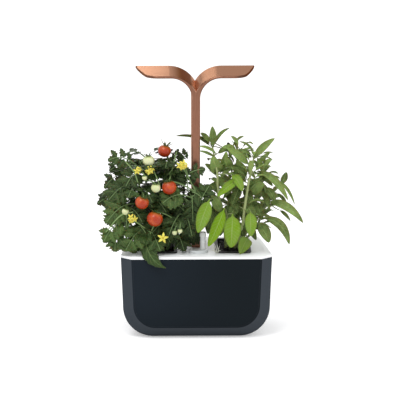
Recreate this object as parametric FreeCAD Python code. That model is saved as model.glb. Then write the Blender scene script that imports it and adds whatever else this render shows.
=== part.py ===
"""A countertop hydroponic garden: a U-shaped water tank, a white planting tray with two pods,
and a grow lamp whose two leaves part from one flat mast. Each piece is its own STEP file."""

import FreeCAD, Part
import math
import os

V = FreeCAD.Vector

# Driving sizes in millimetres. The origin is under the middle of the tank, +Z up, the front at -Y.
WIDTH = 240.0
DEPTH = 150.0
FOOT = 1.5
TANK_TOP = 129.2
LIP_TOP = 133.2
DECK_TOP = 134.6
BAND = 17.0
SIDE_LEAN = 2.5
REAR_HALF = 103.0
SIDE_Y = -14.0
REAR_SLANT = 0.88
WALL = 2.5
FLOOR_TOP = 5.0
LINER_FLOOR = 11.0
LINER_TOP = 118.0
DECK_WALL = 2.4
GROOVE_INSETS = (1.3, 2.2)
GROOVE_DEPTH = 0.6

# The lamp: a flat mast that grows deeper above the plants, and two thin leaves that leave it on arcs.
MAST_HALF = 6.5
MAST_FRONT = -24.0
MAST_BACK = 48.0
MAST_FOOT = 46.0
FLARE = 9.0
FLARE_Z = (230.0, 374.0)
LEAF_UNDER = 411.9
LEAF_TOP = 416.1
LEAF_TIP = -94.6
LEAF_TURN_X = -60.0
LEAF_TURN_RADIUS = 22.0
LEAF_TURN = 74.0
UNDER_RADIUS = 33.0
TOP_RADIUS = 48.5
TOP_CENTRE = -42.0
SKIN = 1.6
NOSE = 1.9
POCKET_X = (-73.0, -34.0)
POCKET_Y = (-21.0, 49.0)
POCKET_DEEP = 2.4

# The sleeve that the mast slides in, and what guides it.
SLEEVE_HALF = 8.5
SLEEVE_FRONT = MAST_FRONT - 2.5
SLEEVE_BACK = MAST_BACK + 2.5
SLEEVE_WALL = 2.0
SLEEVE_TOP = 128.0
GUIDE_GAP = 0.05

# The pods.
POD_X = 58.5
POD_Y = -2.0
POD_WIDE = 50.0
POD_LONG = 100.0
POD_TAPER = 8.0
POD_BASE = 78.0
POD_WALL = 1.6
POD_FLANGE = 3.5
FLANGE_TOP = DECK_TOP + 1.6
SOIL_TOP = 139.0
SOIL_CROWN = 160.0

# The fill port with its cap, and the float gauge that stands on the cap.
PORT = (3.5, -43.5)
PORT_RADIUS = 13.0
CAP_RADIUS = 15.3
CAP_TOP = DECK_TOP + 4.0
GAUGE = (10.7, -38.1)
GAUGE_RADIUS = 4.4
GAUGE_BORE = 3.3
GAUGE_TOP = 166.0
KNOB_BASE = 158.5
STEM_RADIUS = 1.0
FLOAT_RADIUS = 11.3
FLOAT_Z = (16.0, 34.0)

# The electronics bay in the back wall.
BAY_HALF = 36.0
BAY_FRONT = 55.0
PANEL_Z = (67.2, 114.8)
PANEL_HALF = 32.8
SOCKET_X = -12.0
BUTTON_X = 12.0
CONTROL_Z = 91.0

# Plant envelopes: centre and half sizes, and how much of each is left hollow.
FOLIAGE_CORE = 0.92
TOMATO_CROWN = ((-86.75, 0.0, 227.5), (78.25, 92.0, 85.5))
TOMATO_FRONT = ((-12.0, -60.0, 214.0), (22.0, 26.0, 54.0))
TOMATO_LIP = ((-82.0, -84.0, 150.0), (14.0, 8.0, 25.0))
SAGE_CROWN = ((86.75, 0.0, 236.0), (78.25, 92.0, 95.0))
SAGE_FRONT = ((40.0, -66.0, 190.0), (22.0, 24.0, 45.0))
RED_FRUIT = (
    (-50.0, -12.0, 298.0, 11.0),
    (-43.0, -62.0, 243.0, 11.5),
    (-87.0, -74.0, 219.0, 11.0),
    (-66.0, -79.0, 192.0, 12.7),
)
GREEN_FRUIT = (
    (-75.0, -42.0, 285.0, 9.5),
    (-64.0, -70.0, 241.0, 7.5),
    (-112.0, -70.0, 203.0, 5.6),
    (-82.0, -66.0, 258.0, 4.0),
    (-33.0, -86.0, 169.0, 4.0),
    (-26.0, -86.0, 172.0, 4.0),
)
FLOWERS = (
    (-94.0, -54.0, 269.0),
    (-74.0, -58.0, 270.0),
    (-24.0, -64.0, 279.0),
    (-102.0, -76.0, 192.0),
    (-54.0, -86.0, 161.0),
)


def box(x_range, y_range, z_range):
    """Upright block between the given limits."""
    low = V(x_range[0], y_range[0], z_range[0])
    return Part.makeBox(x_range[1] - x_range[0], y_range[1] - y_range[0], z_range[1] - z_range[0], low)


def soft_box(x_range, y_range, z_range, radius):
    """Block with its four upright edges rounded."""
    solid = box(x_range, y_range, z_range)
    upright = [edge for edge in solid.Edges if abs(edge.tangentAt(edge.FirstParameter).z) > 0.99]
    return solid.makeFillet(radius, upright)


def post(x, y, z_range, radius):
    """Upright cylinder."""
    return Part.makeCylinder(radius, z_range[1] - z_range[0], V(x, y, z_range[0]))


def rod_y(x, z, y_range, radius):
    """Cylinder lying along Y."""
    return Part.makeCylinder(radius, y_range[1] - y_range[0], V(x, y_range[0], z), V(0, 1, 0))


def rod_x(y, z, x_range, radius):
    """Cylinder lying along X."""
    return Part.makeCylinder(radius, x_range[1] - x_range[0], V(x_range[0], y, z), V(1, 0, 0))


def mirrored(shape):
    """The same piece on the other side of the middle plane."""
    return shape.mirror(V(0, 0, 0), V(1, 0, 0))


def line(start, end):
    return Part.LineSegment(start, end).toShape()


def arc(start, through, end):
    return Part.Arc(start, through, end).toShape()


def extruded(wire, direction):
    return Part.Face(wire).extrude(direction)


def ellipsoid(centre, half):
    """Closed egg shape from a centre and three half sizes."""
    ball = Part.makeSphere(1.0)
    stretch = FreeCAD.Matrix()
    stretch.A11, stretch.A22, stretch.A33 = half
    shape = ball.transformGeometry(stretch)
    shape.translate(V(*centre))
    return shape


def foliage(envelope):
    """A mass of leaves: a closed shell whose volume weighs about what the leaves do."""
    centre, half = envelope
    inside = [FOLIAGE_CORE * size for size in half]
    return ellipsoid(centre, half).cut(ellipsoid(centre, inside))


def save(name, shape):
    """Write one node's STEP file and print its size."""
    shape.exportStep("parts/" + name + ".step")
    size = shape.optimalBoundingBox(False, False)
    print("%-22s solids %2d  valid %s  x %.1f..%.1f  y %.1f..%.1f  z %.1f..%.1f" % (
        name, len(shape.Solids), shape.isValid(),
        size.XMin, size.XMax, size.YMin, size.YMax, size.ZMin, size.ZMax))


def group(solids):
    return Part.makeCompound(solids)


def u_section(y, half_width, floor, corner, top):
    """U-shaped wire at depth y: leaning sides, round lower corners, a flat floor."""
    lean = math.radians(SIDE_LEAN)
    out_x = math.cos(lean)
    out_z = -math.sin(lean)
    centre_z = floor + corner
    centre_x = (half_width * out_x + TANK_TOP * out_z - corner - centre_z * out_z) / out_x
    side_x = centre_x + corner * out_x
    side_z = centre_z + corner * out_z
    middle = math.radians(-(90.0 + SIDE_LEAN) / 2.0)
    bend_x = centre_x + corner * math.cos(middle)
    bend_z = centre_z + corner * math.sin(middle)
    top_x = half_width + (top - TANK_TOP) * math.tan(lean)
    return Part.Wire([
        line(V(-top_x, y, top), V(top_x, y, top)),
        line(V(top_x, y, top), V(side_x, y, side_z)),
        arc(V(side_x, y, side_z), V(bend_x, y, bend_z), V(centre_x, y, floor)),
        line(V(centre_x, y, floor), V(-centre_x, y, floor)),
        arc(V(-centre_x, y, floor), V(-bend_x, y, bend_z), V(-side_x, y, side_z)),
        line(V(-side_x, y, side_z), V(-top_x, y, top)),
    ])


def tank_body(inset, floor, top):
    """The tank's form, or the same form set in by a wall: a sloping band, then sides that close in."""
    slant = math.tan(math.radians(22.5))
    front = u_section(-DEPTH / 2 + inset, WIDTH / 2 - BAND - slant * inset,
                      floor + BAND - (1 - slant) * inset, 36.0 - inset, top)
    widest = u_section(-DEPTH / 2 + BAND + slant * inset, WIDTH / 2 - inset, floor, 48.0 - inset, top)
    rear = u_section(DEPTH / 2 - inset, REAR_HALF - REAR_SLANT * inset, floor, 44.0 - inset, top)
    return Part.makeLoft([front, widest, rear], True, True)


def edges_at(solid, y):
    """The edges round a U section at depth y, without the one along its open top."""
    found = []
    for edge in solid.Edges:
        limits = edge.BoundBox
        level = abs(limits.YMin - y) < 0.01 and abs(limits.YMax - y) < 0.01
        along_top = abs(limits.ZMin - TANK_TOP) < 0.01
        if level and not along_top:
            found.append(edge)
    return found


def panel_groove():
    """Fine groove that parts the flat front from the band round it."""
    front = -DEPTH / 2
    rings = []
    for inset in GROOVE_INSETS:
        wire = u_section(front - 1.0, WIDTH / 2 - BAND - inset, FOOT + BAND + inset, 36.0 - inset, TANK_TOP + 5.0)
        rings.append(extruded(wire, V(0, 1.0 + GROOVE_DEPTH, 0)))
    return rings[0].cut(rings[1])


def tank_shell():
    """Outer shell: gloss body with a cut-out in its back wall for the control panel."""
    form = tank_body(0.0, FOOT, TANK_TOP)
    form = form.makeFillet(1.2, edges_at(form, -DEPTH / 2) + edges_at(form, -DEPTH / 2 + BAND))
    form = form.makeFillet(4.0, edges_at(form, DEPTH / 2))
    shell = form.cut(tank_body(WALL, FLOOR_TOP, TANK_TOP + 10.0))
    for x in (-50.0, 50.0):
        for y in (-35.0, 45.0):
            shell = shell.fuse(post(x, y, (FLOOR_TOP - 0.5, LINER_FLOOR), 4.0))
    panel_bed = box((-PANEL_HALF - 0.1, PANEL_HALF + 0.1), (DEPTH / 2 - 1.2, DEPTH / 2 + 1.0),
                    (PANEL_Z[0] - 0.1, PANEL_Z[1] + 0.1))
    window = box((-24.0, 24.0), (DEPTH / 2 - 6.0, DEPTH / 2 + 1.0), (76.0, 106.0))
    cuts = [panel_bed, window, panel_groove()]
    for x, z in panel_screw_places():
        cuts.append(rod_y(x, z, (DEPTH / 2 - 6.0, DEPTH / 2), 1.1))
    for x, y in sleeve_screw_places():
        cuts.append(post(x, y, (0.0, FLOOR_TOP + 1.0), 1.5))
        cuts.append(post(x, y, (0.0, FOOT + 1.8), 3.0))
    return shell.cut(cuts).removeSplitter()


def reservoir_liner():
    """Water tub inside the shell, with a niche at the back that keeps the electronics dry."""
    outside = tank_body(WALL + 1.5, LINER_FLOOR, LINER_TOP)
    tub = outside.cut(tank_body(WALL + 3.5, LINER_FLOOR + 2.0, LINER_TOP + 10.0))
    niche_wall = box((-BAY_HALF - 2.0, BAY_HALF + 2.0), (BAY_FRONT - 2.0, DEPTH), (0.0, LINER_TOP))
    tub = tub.fuse(outside.common(niche_wall))
    niche = box((-BAY_HALF, BAY_HALF), (BAY_FRONT, DEPTH), (0.0, LINER_TOP + 10.0))
    well = box((-SLEEVE_HALF - 2.2, SLEEVE_HALF + 2.2), (SLEEVE_FRONT - 2.2, SLEEVE_BACK + 2.2),
               (0.0, LINER_FLOOR + 5.0))
    return tub.cut([niche, well]).removeSplitter()


def rubber_feet():
    """Four round pads under the floor."""
    return group([post(x, y, (0.0, FOOT), 7.0) for x in (-54.0, 54.0) for y in (-42.0, 56.0)])


def plan_points(inset):
    """Right half of the tank's outline seen from above, front to back."""
    slant = math.tan(math.radians(22.5))
    widest_y = -DEPTH / 2 + BAND
    share = (SIDE_Y - widest_y) / (DEPTH / 2 - widest_y)
    return (
        (WIDTH / 2 - BAND - slant * inset, -DEPTH / 2 + inset),
        (WIDTH / 2 - inset, widest_y + slant * inset),
        (WIDTH / 2 - inset - share * (WIDTH / 2 - REAR_HALF), SIDE_Y),
        (REAR_HALF - REAR_SLANT * inset, DEPTH / 2 - inset),
    )


def plan_wire(half_outline, z):
    """Closed outline at height z from its right half."""
    right = [V(x, y, z) for x, y in half_outline]
    left = [V(-x, y, z) for x, y in reversed(half_outline)]
    corners = right + left
    return Part.Wire([line(corners[i], corners[(i + 1) % len(corners)]) for i in range(len(corners))])


def prism(inset, z_range):
    """The tank's outline, set in by a distance, as an upright block."""
    return extruded(plan_wire(plan_points(inset), z_range[0]), V(0, 0, z_range[1] - z_range[0]))


def tray():
    """Planting tray: lip, sloping border, flat deck with its openings, and a skirt inside the tank."""
    crest = ((98.0, -68.0), (108.0, -59.0), (108.0, SIDE_Y), (98.5, 69.0))
    border = Part.makeLoft([plan_wire(plan_points(0.0), LIP_TOP), plan_wire(crest, DECK_TOP)], True, True)
    body = prism(0.0, (TANK_TOP, LIP_TOP)).fuse(border)
    body = body.cut(prism(5.4, (TANK_TOP - 5.0, DECK_TOP - DECK_WALL)))
    skirt = prism(3.6, (121.0, TANK_TOP + 0.5)).cut(prism(5.4, (120.0, TANK_TOP + 1.0)))
    body = body.fuse(skirt)
    cuts = []
    for side in (-1.0, 1.0):
        wide = POD_WIDE / 2 + 1.0
        middle = side * POD_X
        cuts.append(soft_box((middle - wide, middle + wide),
                             (POD_Y - POD_LONG / 2 - 1.0, POD_Y + POD_LONG / 2 + 1.0),
                             (DECK_TOP - 10.0, DECK_TOP + 5.0), 7.0))
    cuts.append(box((-9.0, 9.0), (MAST_FRONT - 2.5, MAST_BACK + 2.5), (DECK_TOP - 10.0, DECK_TOP + 5.0)))
    cuts.append(post(PORT[0], PORT[1], (DECK_TOP - 20.0, DECK_TOP + 5.0), PORT_RADIUS))
    return body.cut(cuts).removeSplitter()


def fill_neck():
    """Short tube under the deck that leads the water in and holds the cap's seal."""
    return ring(PORT_RADIUS, PORT_RADIUS + 1.6, (DECK_TOP - 12.0, DECK_TOP - DECK_WALL))


def mast_collar():
    """White collar on the deck round the mast, with a skirt down through the deck."""
    top = soft_box((-10.0, 10.0), (MAST_FRONT - 3.6, MAST_BACK + 3.6), (DECK_TOP, DECK_TOP + 3.0), 2.5)
    skirt = box((-8.9, 8.9), (MAST_FRONT - 2.4, MAST_BACK + 2.4), (SLEEVE_TOP + 2.2, DECK_TOP + 0.5))
    bore = box((-MAST_HALF - 0.4, MAST_HALF + 0.4), (MAST_FRONT - 0.4, MAST_BACK + 0.4),
               (SLEEVE_TOP, DECK_TOP + 10.0))
    return top.fuse(skirt).cut(bore).removeSplitter()


def sleeve_screw_places():
    return [(x, y) for x in (-14.0, 14.0) for y in (-18.0, 42.0)]


def mast_sleeve():
    """Dry well that the mast slides in: a flat tube with a closed foot and a hole for the lead."""
    out = SLEEVE_HALF + SLEEVE_WALL
    tube = box((-out, out), (SLEEVE_FRONT - SLEEVE_WALL, SLEEVE_BACK + SLEEVE_WALL), (FLOOR_TOP, SLEEVE_TOP))
    foot = box((-19.0, 19.0), (SLEEVE_FRONT - SLEEVE_WALL, SLEEVE_BACK + SLEEVE_WALL), (FLOOR_TOP, 10.0))
    inside = box((-SLEEVE_HALF, SLEEVE_HALF), (SLEEVE_FRONT, SLEEVE_BACK), (FLOOR_TOP + 2.0, SLEEVE_TOP + 1.0))
    lead_hole = rod_y(0.0, 9.0, (SLEEVE_BACK - 1.0, SLEEVE_BACK + SLEEVE_WALL + 1.0), 1.8)
    holes = [post(x, y, (0.0, 9.2), 1.5) for x, y in sleeve_screw_places()]
    return tube.fuse(foot).cut([inside, lead_hole] + holes).removeSplitter()


def sleeve_screws():
    """Screws up through the tank floor into the sleeve's foot."""
    return group([screw(x, y) for x, y in sleeve_screw_places()])


def screw(x, y):
    """Pan-head screw, head down, with a cross recess."""
    head = post(x, y, (FOOT + 0.2, FOOT + 1.8), 2.8)
    shank = post(x, y, (FOOT + 1.8, 9.0), 1.45)
    cross = box((x - 1.6, x + 1.6), (y - 0.35, y + 0.35), (0.0, FOOT + 1.0))
    other = box((x - 0.35, x + 0.35), (y - 1.6, y + 1.6), (0.0, FOOT + 1.0))
    return head.fuse(shank).cut([cross, other])


def sleeve_seal():
    """Rubber ring on the liner's floor, tight round the sleeve."""
    out = SLEEVE_HALF + SLEEVE_WALL
    ring = soft_box((-out - 3.0, out + 3.0), (SLEEVE_FRONT - 5.0, SLEEVE_BACK + 2.45),
                    (LINER_FLOOR + 2.0, LINER_FLOOR + 4.5), 0.4)
    return ring.cut(box((-out, out), (SLEEVE_FRONT - SLEEVE_WALL, SLEEVE_BACK + SLEEVE_WALL), (0.0, 30.0)))


def mast_bushing():
    """Slippery guide in the sleeve's mouth; the mast's foot stops under it."""
    plug = box((-SLEEVE_HALF, SLEEVE_HALF), (SLEEVE_FRONT, SLEEVE_BACK), (LINER_TOP, SLEEVE_TOP))
    out = SLEEVE_HALF + SLEEVE_WALL
    rim = box((-out, out), (SLEEVE_FRONT - SLEEVE_WALL, SLEEVE_BACK + SLEEVE_WALL), (SLEEVE_TOP, SLEEVE_TOP + 2.0))
    gap = box((-MAST_HALF - GUIDE_GAP, MAST_HALF + GUIDE_GAP), (MAST_FRONT - GUIDE_GAP, MAST_BACK + GUIDE_GAP),
              (LINER_TOP - 1.0, SLEEVE_TOP + 5.0))
    return plug.fuse(rim).cut(gap).removeSplitter()


def lamp_profile(skin, foot, tip):
    """Left half of the lamp seen from the front: mast, bend and leaf, set in by a skin."""
    low_centre = V(-MAST_HALF - UNDER_RADIUS, 0, LEAF_UNDER - UNDER_RADIUS)
    high_centre = V(TOP_CENTRE, 0, LEAF_TOP - TOP_RADIUS)
    low = UNDER_RADIUS + skin
    high = TOP_RADIUS - skin
    side = -MAST_HALF + skin
    notch_z = high_centre.z + math.sqrt(high ** 2 - high_centre.x ** 2)
    diagonal = math.sqrt(0.5)
    half_turn = math.atan2(notch_z - high_centre.z, -high_centre.x)
    high_mid = (half_turn + math.pi / 2) / 2
    under = LEAF_UNDER + skin
    over = LEAF_TOP - skin
    return Part.Wire([
        line(V(0, 0, foot), V(side, 0, foot)),
        line(V(side, 0, foot), V(side, 0, low_centre.z)),
        arc(V(side, 0, low_centre.z),
            V(low_centre.x + low * diagonal, 0, low_centre.z + low * diagonal),
            V(low_centre.x, 0, under)),
        line(V(low_centre.x, 0, under), V(tip, 0, under)),
        line(V(tip, 0, under), V(tip, 0, over)),
        line(V(tip, 0, over), V(high_centre.x, 0, over)),
        arc(V(high_centre.x, 0, over),
            V(high_centre.x + high * math.cos(high_mid), 0, high_centre.z + high * math.sin(high_mid)),
            V(0, 0, notch_z)),
        line(V(0, 0, notch_z), V(0, 0, foot)),
    ])


def tangent_arc(start, way, end):
    """Arc that leaves start along way and reaches end."""
    chord = end - start
    across = way - chord * (way.dot(chord) / chord.dot(chord))
    across.normalize()
    rise = chord.Length / 2 * math.tan(chord.getAngle(way) / 2)
    return arc(start, (start + end) * 0.5 + across * rise, end)


def leaf_plan():
    """The lamp's outline seen from above: a straight back, a front that sweeps out to each tip."""
    front, back = MAST_FRONT - FLARE, MAST_BACK + FLARE
    turn = math.radians(LEAF_TURN)
    corner = V(LEAF_TURN_X, front, 0)
    way = V(-math.cos(turn), math.sin(turn), 0)
    turned = corner + V(-math.sin(turn), 1 - math.cos(turn), 0) * LEAF_TURN_RADIUS
    tip = V(LEAF_TIP, back, 0)
    outline = Part.Wire([
        line(V(0, front, 0), corner),
        tangent_arc(corner, V(-1, 0, 0), turned),
        tangent_arc(turned, way, tip),
        line(tip, V(0, back, 0)),
        line(V(0, back, 0), V(0, front, 0)),
    ])
    return extruded(outline, V(0, 0, 500.0))


def flare(y, out):
    """Two arcs that lead the mast's upright edge at depth y outward."""
    low, high = FLARE_Z
    reach = (high - low) / 2
    radius = (reach ** 2 + (FLARE / 2) ** 2) / FLARE
    half = math.asin(reach / radius) / 2
    side = radius * (1 - math.cos(half))
    rise = radius * math.sin(half)
    middle = V(0, y + out * FLARE / 2, low + reach)
    return [
        arc(V(0, y, low), V(0, y + out * side, low + rise), middle),
        arc(middle, V(0, y + out * (FLARE - side), high - rise), V(0, y + out * FLARE, high)),
    ]


def lamp_side():
    """The lamp's outline seen from the side: straight where it slides, deeper above the plants."""
    low, high = FLARE_Z
    front, back = MAST_FRONT - FLARE, MAST_BACK + FLARE
    top = LEAF_TOP + 5.0
    outline = Part.Wire([
        line(V(0, MAST_BACK, MAST_FOOT), V(0, MAST_FRONT, MAST_FOOT)),
        line(V(0, MAST_FRONT, MAST_FOOT), V(0, MAST_FRONT, low)),
    ] + flare(MAST_FRONT, -1.0) + [
        line(V(0, front, high), V(0, front, top)),
        line(V(0, front, top), V(0, back, top)),
        line(V(0, back, top), V(0, back, high)),
    ] + flare(MAST_BACK, 1.0)[::-1] + [
        line(V(0, MAST_BACK, low), V(0, MAST_BACK, MAST_FOOT)),
    ])
    return extruded(outline, V(-120.0, 0, 0))


def is_sharp(solid, edge):
    """True where two faces meet at an angle along the edge."""
    middle = edge.valueAt((edge.FirstParameter + edge.LastParameter) / 2)
    normals = []
    for face in solid.Faces:
        if any(edge.isSame(other) for other in face.Edges):
            normals.append(face.normalAt(*face.Surface.parameter(middle)))
    return len(normals) == 2 and normals[0].getAngle(normals[1]) > 0.35


def between(profile, y_range):
    """A lamp profile extruded across part of the lamp's depth."""
    solid = extruded(profile, V(0, y_range[1] - y_range[0], 0))
    solid.translate(V(0, y_range[0], 0))
    return solid


def ribbon_left():
    """Hollow metal half of the lamp: half the mast, one bend and one leaf with its light pocket."""
    profile = lamp_profile(0.0, MAST_FOOT, LEAF_TIP - 5.0)
    solid = between(profile, (MAST_FRONT - FLARE, MAST_BACK + FLARE)).common(leaf_plan()).common(lamp_side())
    outer = []
    for edge in solid.Edges:
        limits = edge.BoundBox
        on_joint = limits.XMin > -0.01
        on_foot = limits.ZMax < MAST_FOOT + 0.01
        upright_tip = limits.ZMax - limits.ZMin > 3.5 and limits.XMax < -60.0
        if is_sharp(solid, edge) and not (on_joint or on_foot or upright_tip):
            outer.append(edge)
    solid = solid.makeFillet(NOSE, outer)
    hollow = between(lamp_profile(SKIN, MAST_FOOT - 1.0, -68.0), (MAST_FRONT + 2.0, MAST_BACK - 2.0))
    pocket = soft_box(POCKET_X, POCKET_Y, (LEAF_UNDER - 1.0, LEAF_UNDER + POCKET_DEEP), 3.0)
    pins = [rod_x(y, 52.0, (-12.0, 1.0), 1.5) for y in (-10.0, 34.0)]
    return solid.cut([hollow, pocket] + pins)


def pocket_plate(z_range):
    """Plate that fits the light pocket with a small gap round it."""
    gap = 0.2
    return soft_box((POCKET_X[0] + gap, POCKET_X[1] - gap), (POCKET_Y[0] + gap, POCKET_Y[1] - gap), z_range, 2.8)


def led_board_left():
    """Metal-core board in the roof of the light pocket."""
    return pocket_plate((LEAF_UNDER + 1.3, LEAF_UNDER + 2.3))


def led_chips_left():
    """Rows of light chips under the board."""
    chips = []
    for row in range(5):
        for column in range(6):
            x = -69.5 + 6.4 * column
            y = -14.0 + 14.0 * row
            chips.append(box((x - 1.4, x + 1.4), (y - 1.4, y + 1.4), (LEAF_UNDER + 0.8, LEAF_UNDER + 1.3)))
    return group(chips)


def diffuser_left():
    """Frosted cover flush with the leaf's underside."""
    return pocket_plate((LEAF_UNDER, LEAF_UNDER + 0.7))


def mast_foot():
    """Plastic shoe on the mast's lower end; it slides in the sleeve and stops the mast coming out."""
    shoe = box((-SLEEVE_HALF + 0.1, SLEEVE_HALF - 0.1), (SLEEVE_FRONT + 0.1, SLEEVE_BACK - 0.1), (44.0, 57.0))
    bed = box((-MAST_HALF, MAST_HALF), (MAST_FRONT, MAST_BACK), (MAST_FOOT, 60.0))
    lead_hole = post(0.0, 12.0, (40.0, 50.0), 2.2)
    pins = [rod_x(y, 52.0, (-12.0, 12.0), 1.5) for y in (-10.0, 34.0)]
    return shoe.cut([bed, lead_hole] + pins)


def foot_pins():
    """Two pins through the shoe and both halves of the mast."""
    return group([rod_x(y, 52.0, (-8.3, 8.3), 1.5) for y in (-10.0, 34.0)])


def service_lead():
    """Coiled lead under the mast, drawn as its outer sleeve; it closes up as the lamp goes down."""
    return post(0.0, 12.0, (FLOOR_TOP + 2.0, 44.0), 4.0)


def supply_lead():
    """Lead from the control board, under the liner and into the sleeve."""
    turn = 5.0
    y_down = 60.4
    z_low = 9.0
    end_y = 16.2
    diagonal = turn * (1 - math.sqrt(0.5))
    path = Part.Wire([
        line(V(0, y_down, 30.0), V(0, y_down, z_low + turn)),
        arc(V(0, y_down, z_low + turn), V(0, y_down - diagonal, z_low + diagonal), V(0, y_down - turn, z_low)),
        line(V(0, y_down - turn, z_low), V(0, end_y, z_low)),
    ])
    start = Part.Wire([Part.makeCircle(1.5, V(0, y_down, 30.0), V(0, 0, 1))])
    return path.makePipeShell([start], True, False)


def panel_screw_places():
    return [(x, z) for x in (-28.5, 28.5) for z in (71.5, 110.5)]


def rear_panel():
    """Panel in the back wall that carries the inlet, the button and the board."""
    back = DEPTH / 2
    plate = box((-PANEL_HALF, PANEL_HALF), (back - 1.2, back), PANEL_Z)
    boss = box((-23.8, 23.8), (back - 2.4, back - 1.2), (76.2, 105.8))
    pillars = [rod_y(x, 80.0, (63.6, back - 2.4), 2.2) for x in (-20.5, 20.5)]
    panel = plate.fuse([boss] + pillars)
    cuts = [
        box((SOCKET_X - 4.6, SOCKET_X + 4.6), (60.0, back + 1.0), (CONTROL_Z - 5.6, CONTROL_Z + 5.6)),
        rod_y(BUTTON_X, CONTROL_Z, (60.0, back + 1.0), 6.15),
    ]
    for x, z in panel_screw_places():
        cuts.append(rod_y(x, z, (back - 2.0, back + 1.0), 1.3))
    return panel.cut(cuts).removeSplitter()


def rear_screws():
    """Low-head screws at the panel's corners."""
    back = DEPTH / 2
    screws = []
    for x, z in panel_screw_places():
        head = rod_y(x, z, (back, back + 1.0), 2.4)
        shank = rod_y(x, z, (back - 2.4, back), 1.05)
        cross = box((x - 1.5, x + 1.5), (back + 0.5, back + 2.0), (z - 0.3, z + 0.3))
        other = box((x - 0.3, x + 0.3), (back + 0.5, back + 2.0), (z - 1.5, z + 1.5))
        screws.append(head.fuse(shank).cut([cross, other]))
    return group(screws)


def dc_inlet():
    """Round low-voltage inlet with its centre pin."""
    body = box((SOCKET_X - 4.5, SOCKET_X + 4.5), (64.0, DEPTH / 2), (CONTROL_Z - 5.5, CONTROL_Z + 5.5))
    bore = rod_y(SOCKET_X, CONTROL_Z, (66.0, DEPTH / 2 + 1.0), 2.75)
    pin = rod_y(SOCKET_X, CONTROL_Z, (65.5, DEPTH / 2 - 1.0), 1.05)
    return body.cut(bore).fuse(pin).removeSplitter()


def power_button():
    """Button cap with a collar behind the panel and a stem to the switch."""
    back = DEPTH / 2
    cap = rod_y(BUTTON_X, CONTROL_Z, (back - 4.0, back + 1.5), 6.05)
    cap = cap.makeFillet(0.6, [edge for edge in cap.Edges if edge.BoundBox.YMin > back + 1.4])
    collar = rod_y(BUTTON_X, CONTROL_Z, (back - 4.0, back - 2.6), 7.4)
    stem = rod_y(BUTTON_X, CONTROL_Z, (67.3, back - 3.5), 1.8)
    return cap.fuse([collar, stem]).removeSplitter()


def control_board():
    """Circuit board behind the panel."""
    board = box((-30.0, 30.0), (62.0, 63.6), (28.0, 106.0))
    return board.cut([rod_y(x, 80.0, (60.0, 65.0), 1.2) for x in (-20.5, 20.5)])


def board_parts():
    """Switch, timer chip, capacitors and plugs on the board."""
    switch = box((BUTTON_X - 3.0, BUTTON_X + 3.0), (63.6, 66.2), (CONTROL_Z - 3.0, CONTROL_Z + 3.0))
    chip = box((-8.0, 4.0), (60.4, 62.0), (60.0, 72.0))
    driver = box((10.0, 20.0), (57.6, 62.0), (44.0, 56.0))
    cans = [rod_y(x, 50.0, (57.0, 62.0), 3.6) for x in (-20.0, -10.0)]
    plug = box((-5.0, 5.0), (58.0, 62.0), (30.0, 36.0))
    return group([switch, chip, driver, plug] + cans)


def board_screws():
    """Screws from the board into the panel's pillars."""
    screws = []
    for x in (-20.5, 20.5):
        screws.append(rod_y(x, 80.0, (60.4, 62.0), 2.2).fuse(rod_y(x, 80.0, (62.0, 63.6), 1.15)))
    return group(screws)


def fill_cap():
    """Push-in lid of the fill port, with a finger groove round it and a hole for the float's stem."""
    lid = post(PORT[0], PORT[1], (DECK_TOP + 0.3, CAP_TOP), CAP_RADIUS)
    lid = lid.makeFillet(0.8, [edge for edge in lid.Edges if edge.BoundBox.ZMin > CAP_TOP - 0.1])
    skirt = post(PORT[0], PORT[1], (DECK_TOP - 4.0, DECK_TOP + 1.0), PORT_RADIUS - 0.6)
    inside = post(PORT[0], PORT[1], (DECK_TOP - 5.0, DECK_TOP + 1.6), PORT_RADIUS - 1.8)
    finger_groove = ring(CAP_RADIUS - 0.6, CAP_RADIUS + 1.0, (DECK_TOP + 1.6, DECK_TOP + 2.4))
    seal_groove = ring(PORT_RADIUS - 1.2, PORT_RADIUS + 1.0, (DECK_TOP - 3.0, DECK_TOP - 1.6))
    stem_hole = post(GAUGE[0], GAUGE[1], (DECK_TOP, CAP_TOP + 1.0), STEM_RADIUS + 0.1)
    return lid.fuse(skirt).cut([inside, finger_groove, seal_groove, stem_hole])


def ring(inner, outer, z_range):
    """Flat ring round the fill port's axis."""
    return post(PORT[0], PORT[1], z_range, outer).cut(post(PORT[0], PORT[1], z_range, inner))


def cap_seal():
    """Rubber ring in the cap's groove."""
    return ring(PORT_RADIUS - 1.2, PORT_RADIUS - 0.35, (DECK_TOP - 2.9, DECK_TOP - 1.7))


def gauge_tube():
    """Milky sight tube on the cap; the float's tip shows in it."""
    return gauge_ring(GAUGE_BORE, GAUGE_RADIUS, (CAP_TOP, KNOB_BASE + 1.5))


def gauge_ring(inner, outer, z_range):
    """Round tube on the gauge's axis."""
    return post(GAUGE[0], GAUGE[1], z_range, outer).cut(post(GAUGE[0], GAUGE[1], z_range, inner))


def gauge_knob():
    """White knob that closes the sight tube and is the cap's handle."""
    x, y = GAUGE
    knob = post(x, y, (KNOB_BASE, GAUGE_TOP), GAUGE_RADIUS + 0.9)
    knob = knob.makeFillet(1.6, [edge for edge in knob.Edges if edge.BoundBox.ZMin > GAUGE_TOP - 0.1])
    socket = post(x, y, (KNOB_BASE - 1.0, KNOB_BASE + 1.5), GAUGE_RADIUS)
    inside = post(x, y, (KNOB_BASE, GAUGE_TOP - 2.0), GAUGE_BORE)
    return knob.cut([socket, inside])


def gauge_guide():
    """Thin tube under the cap that keeps the float's stem upright."""
    return gauge_ring(STEM_RADIUS + 0.1, STEM_RADIUS + 0.9, (112.0, DECK_TOP + 1.6))


def float_body():
    """Round foam float, small enough to come out through the port."""
    return post(PORT[0], PORT[1], FLOAT_Z, FLOAT_RADIUS)


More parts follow.
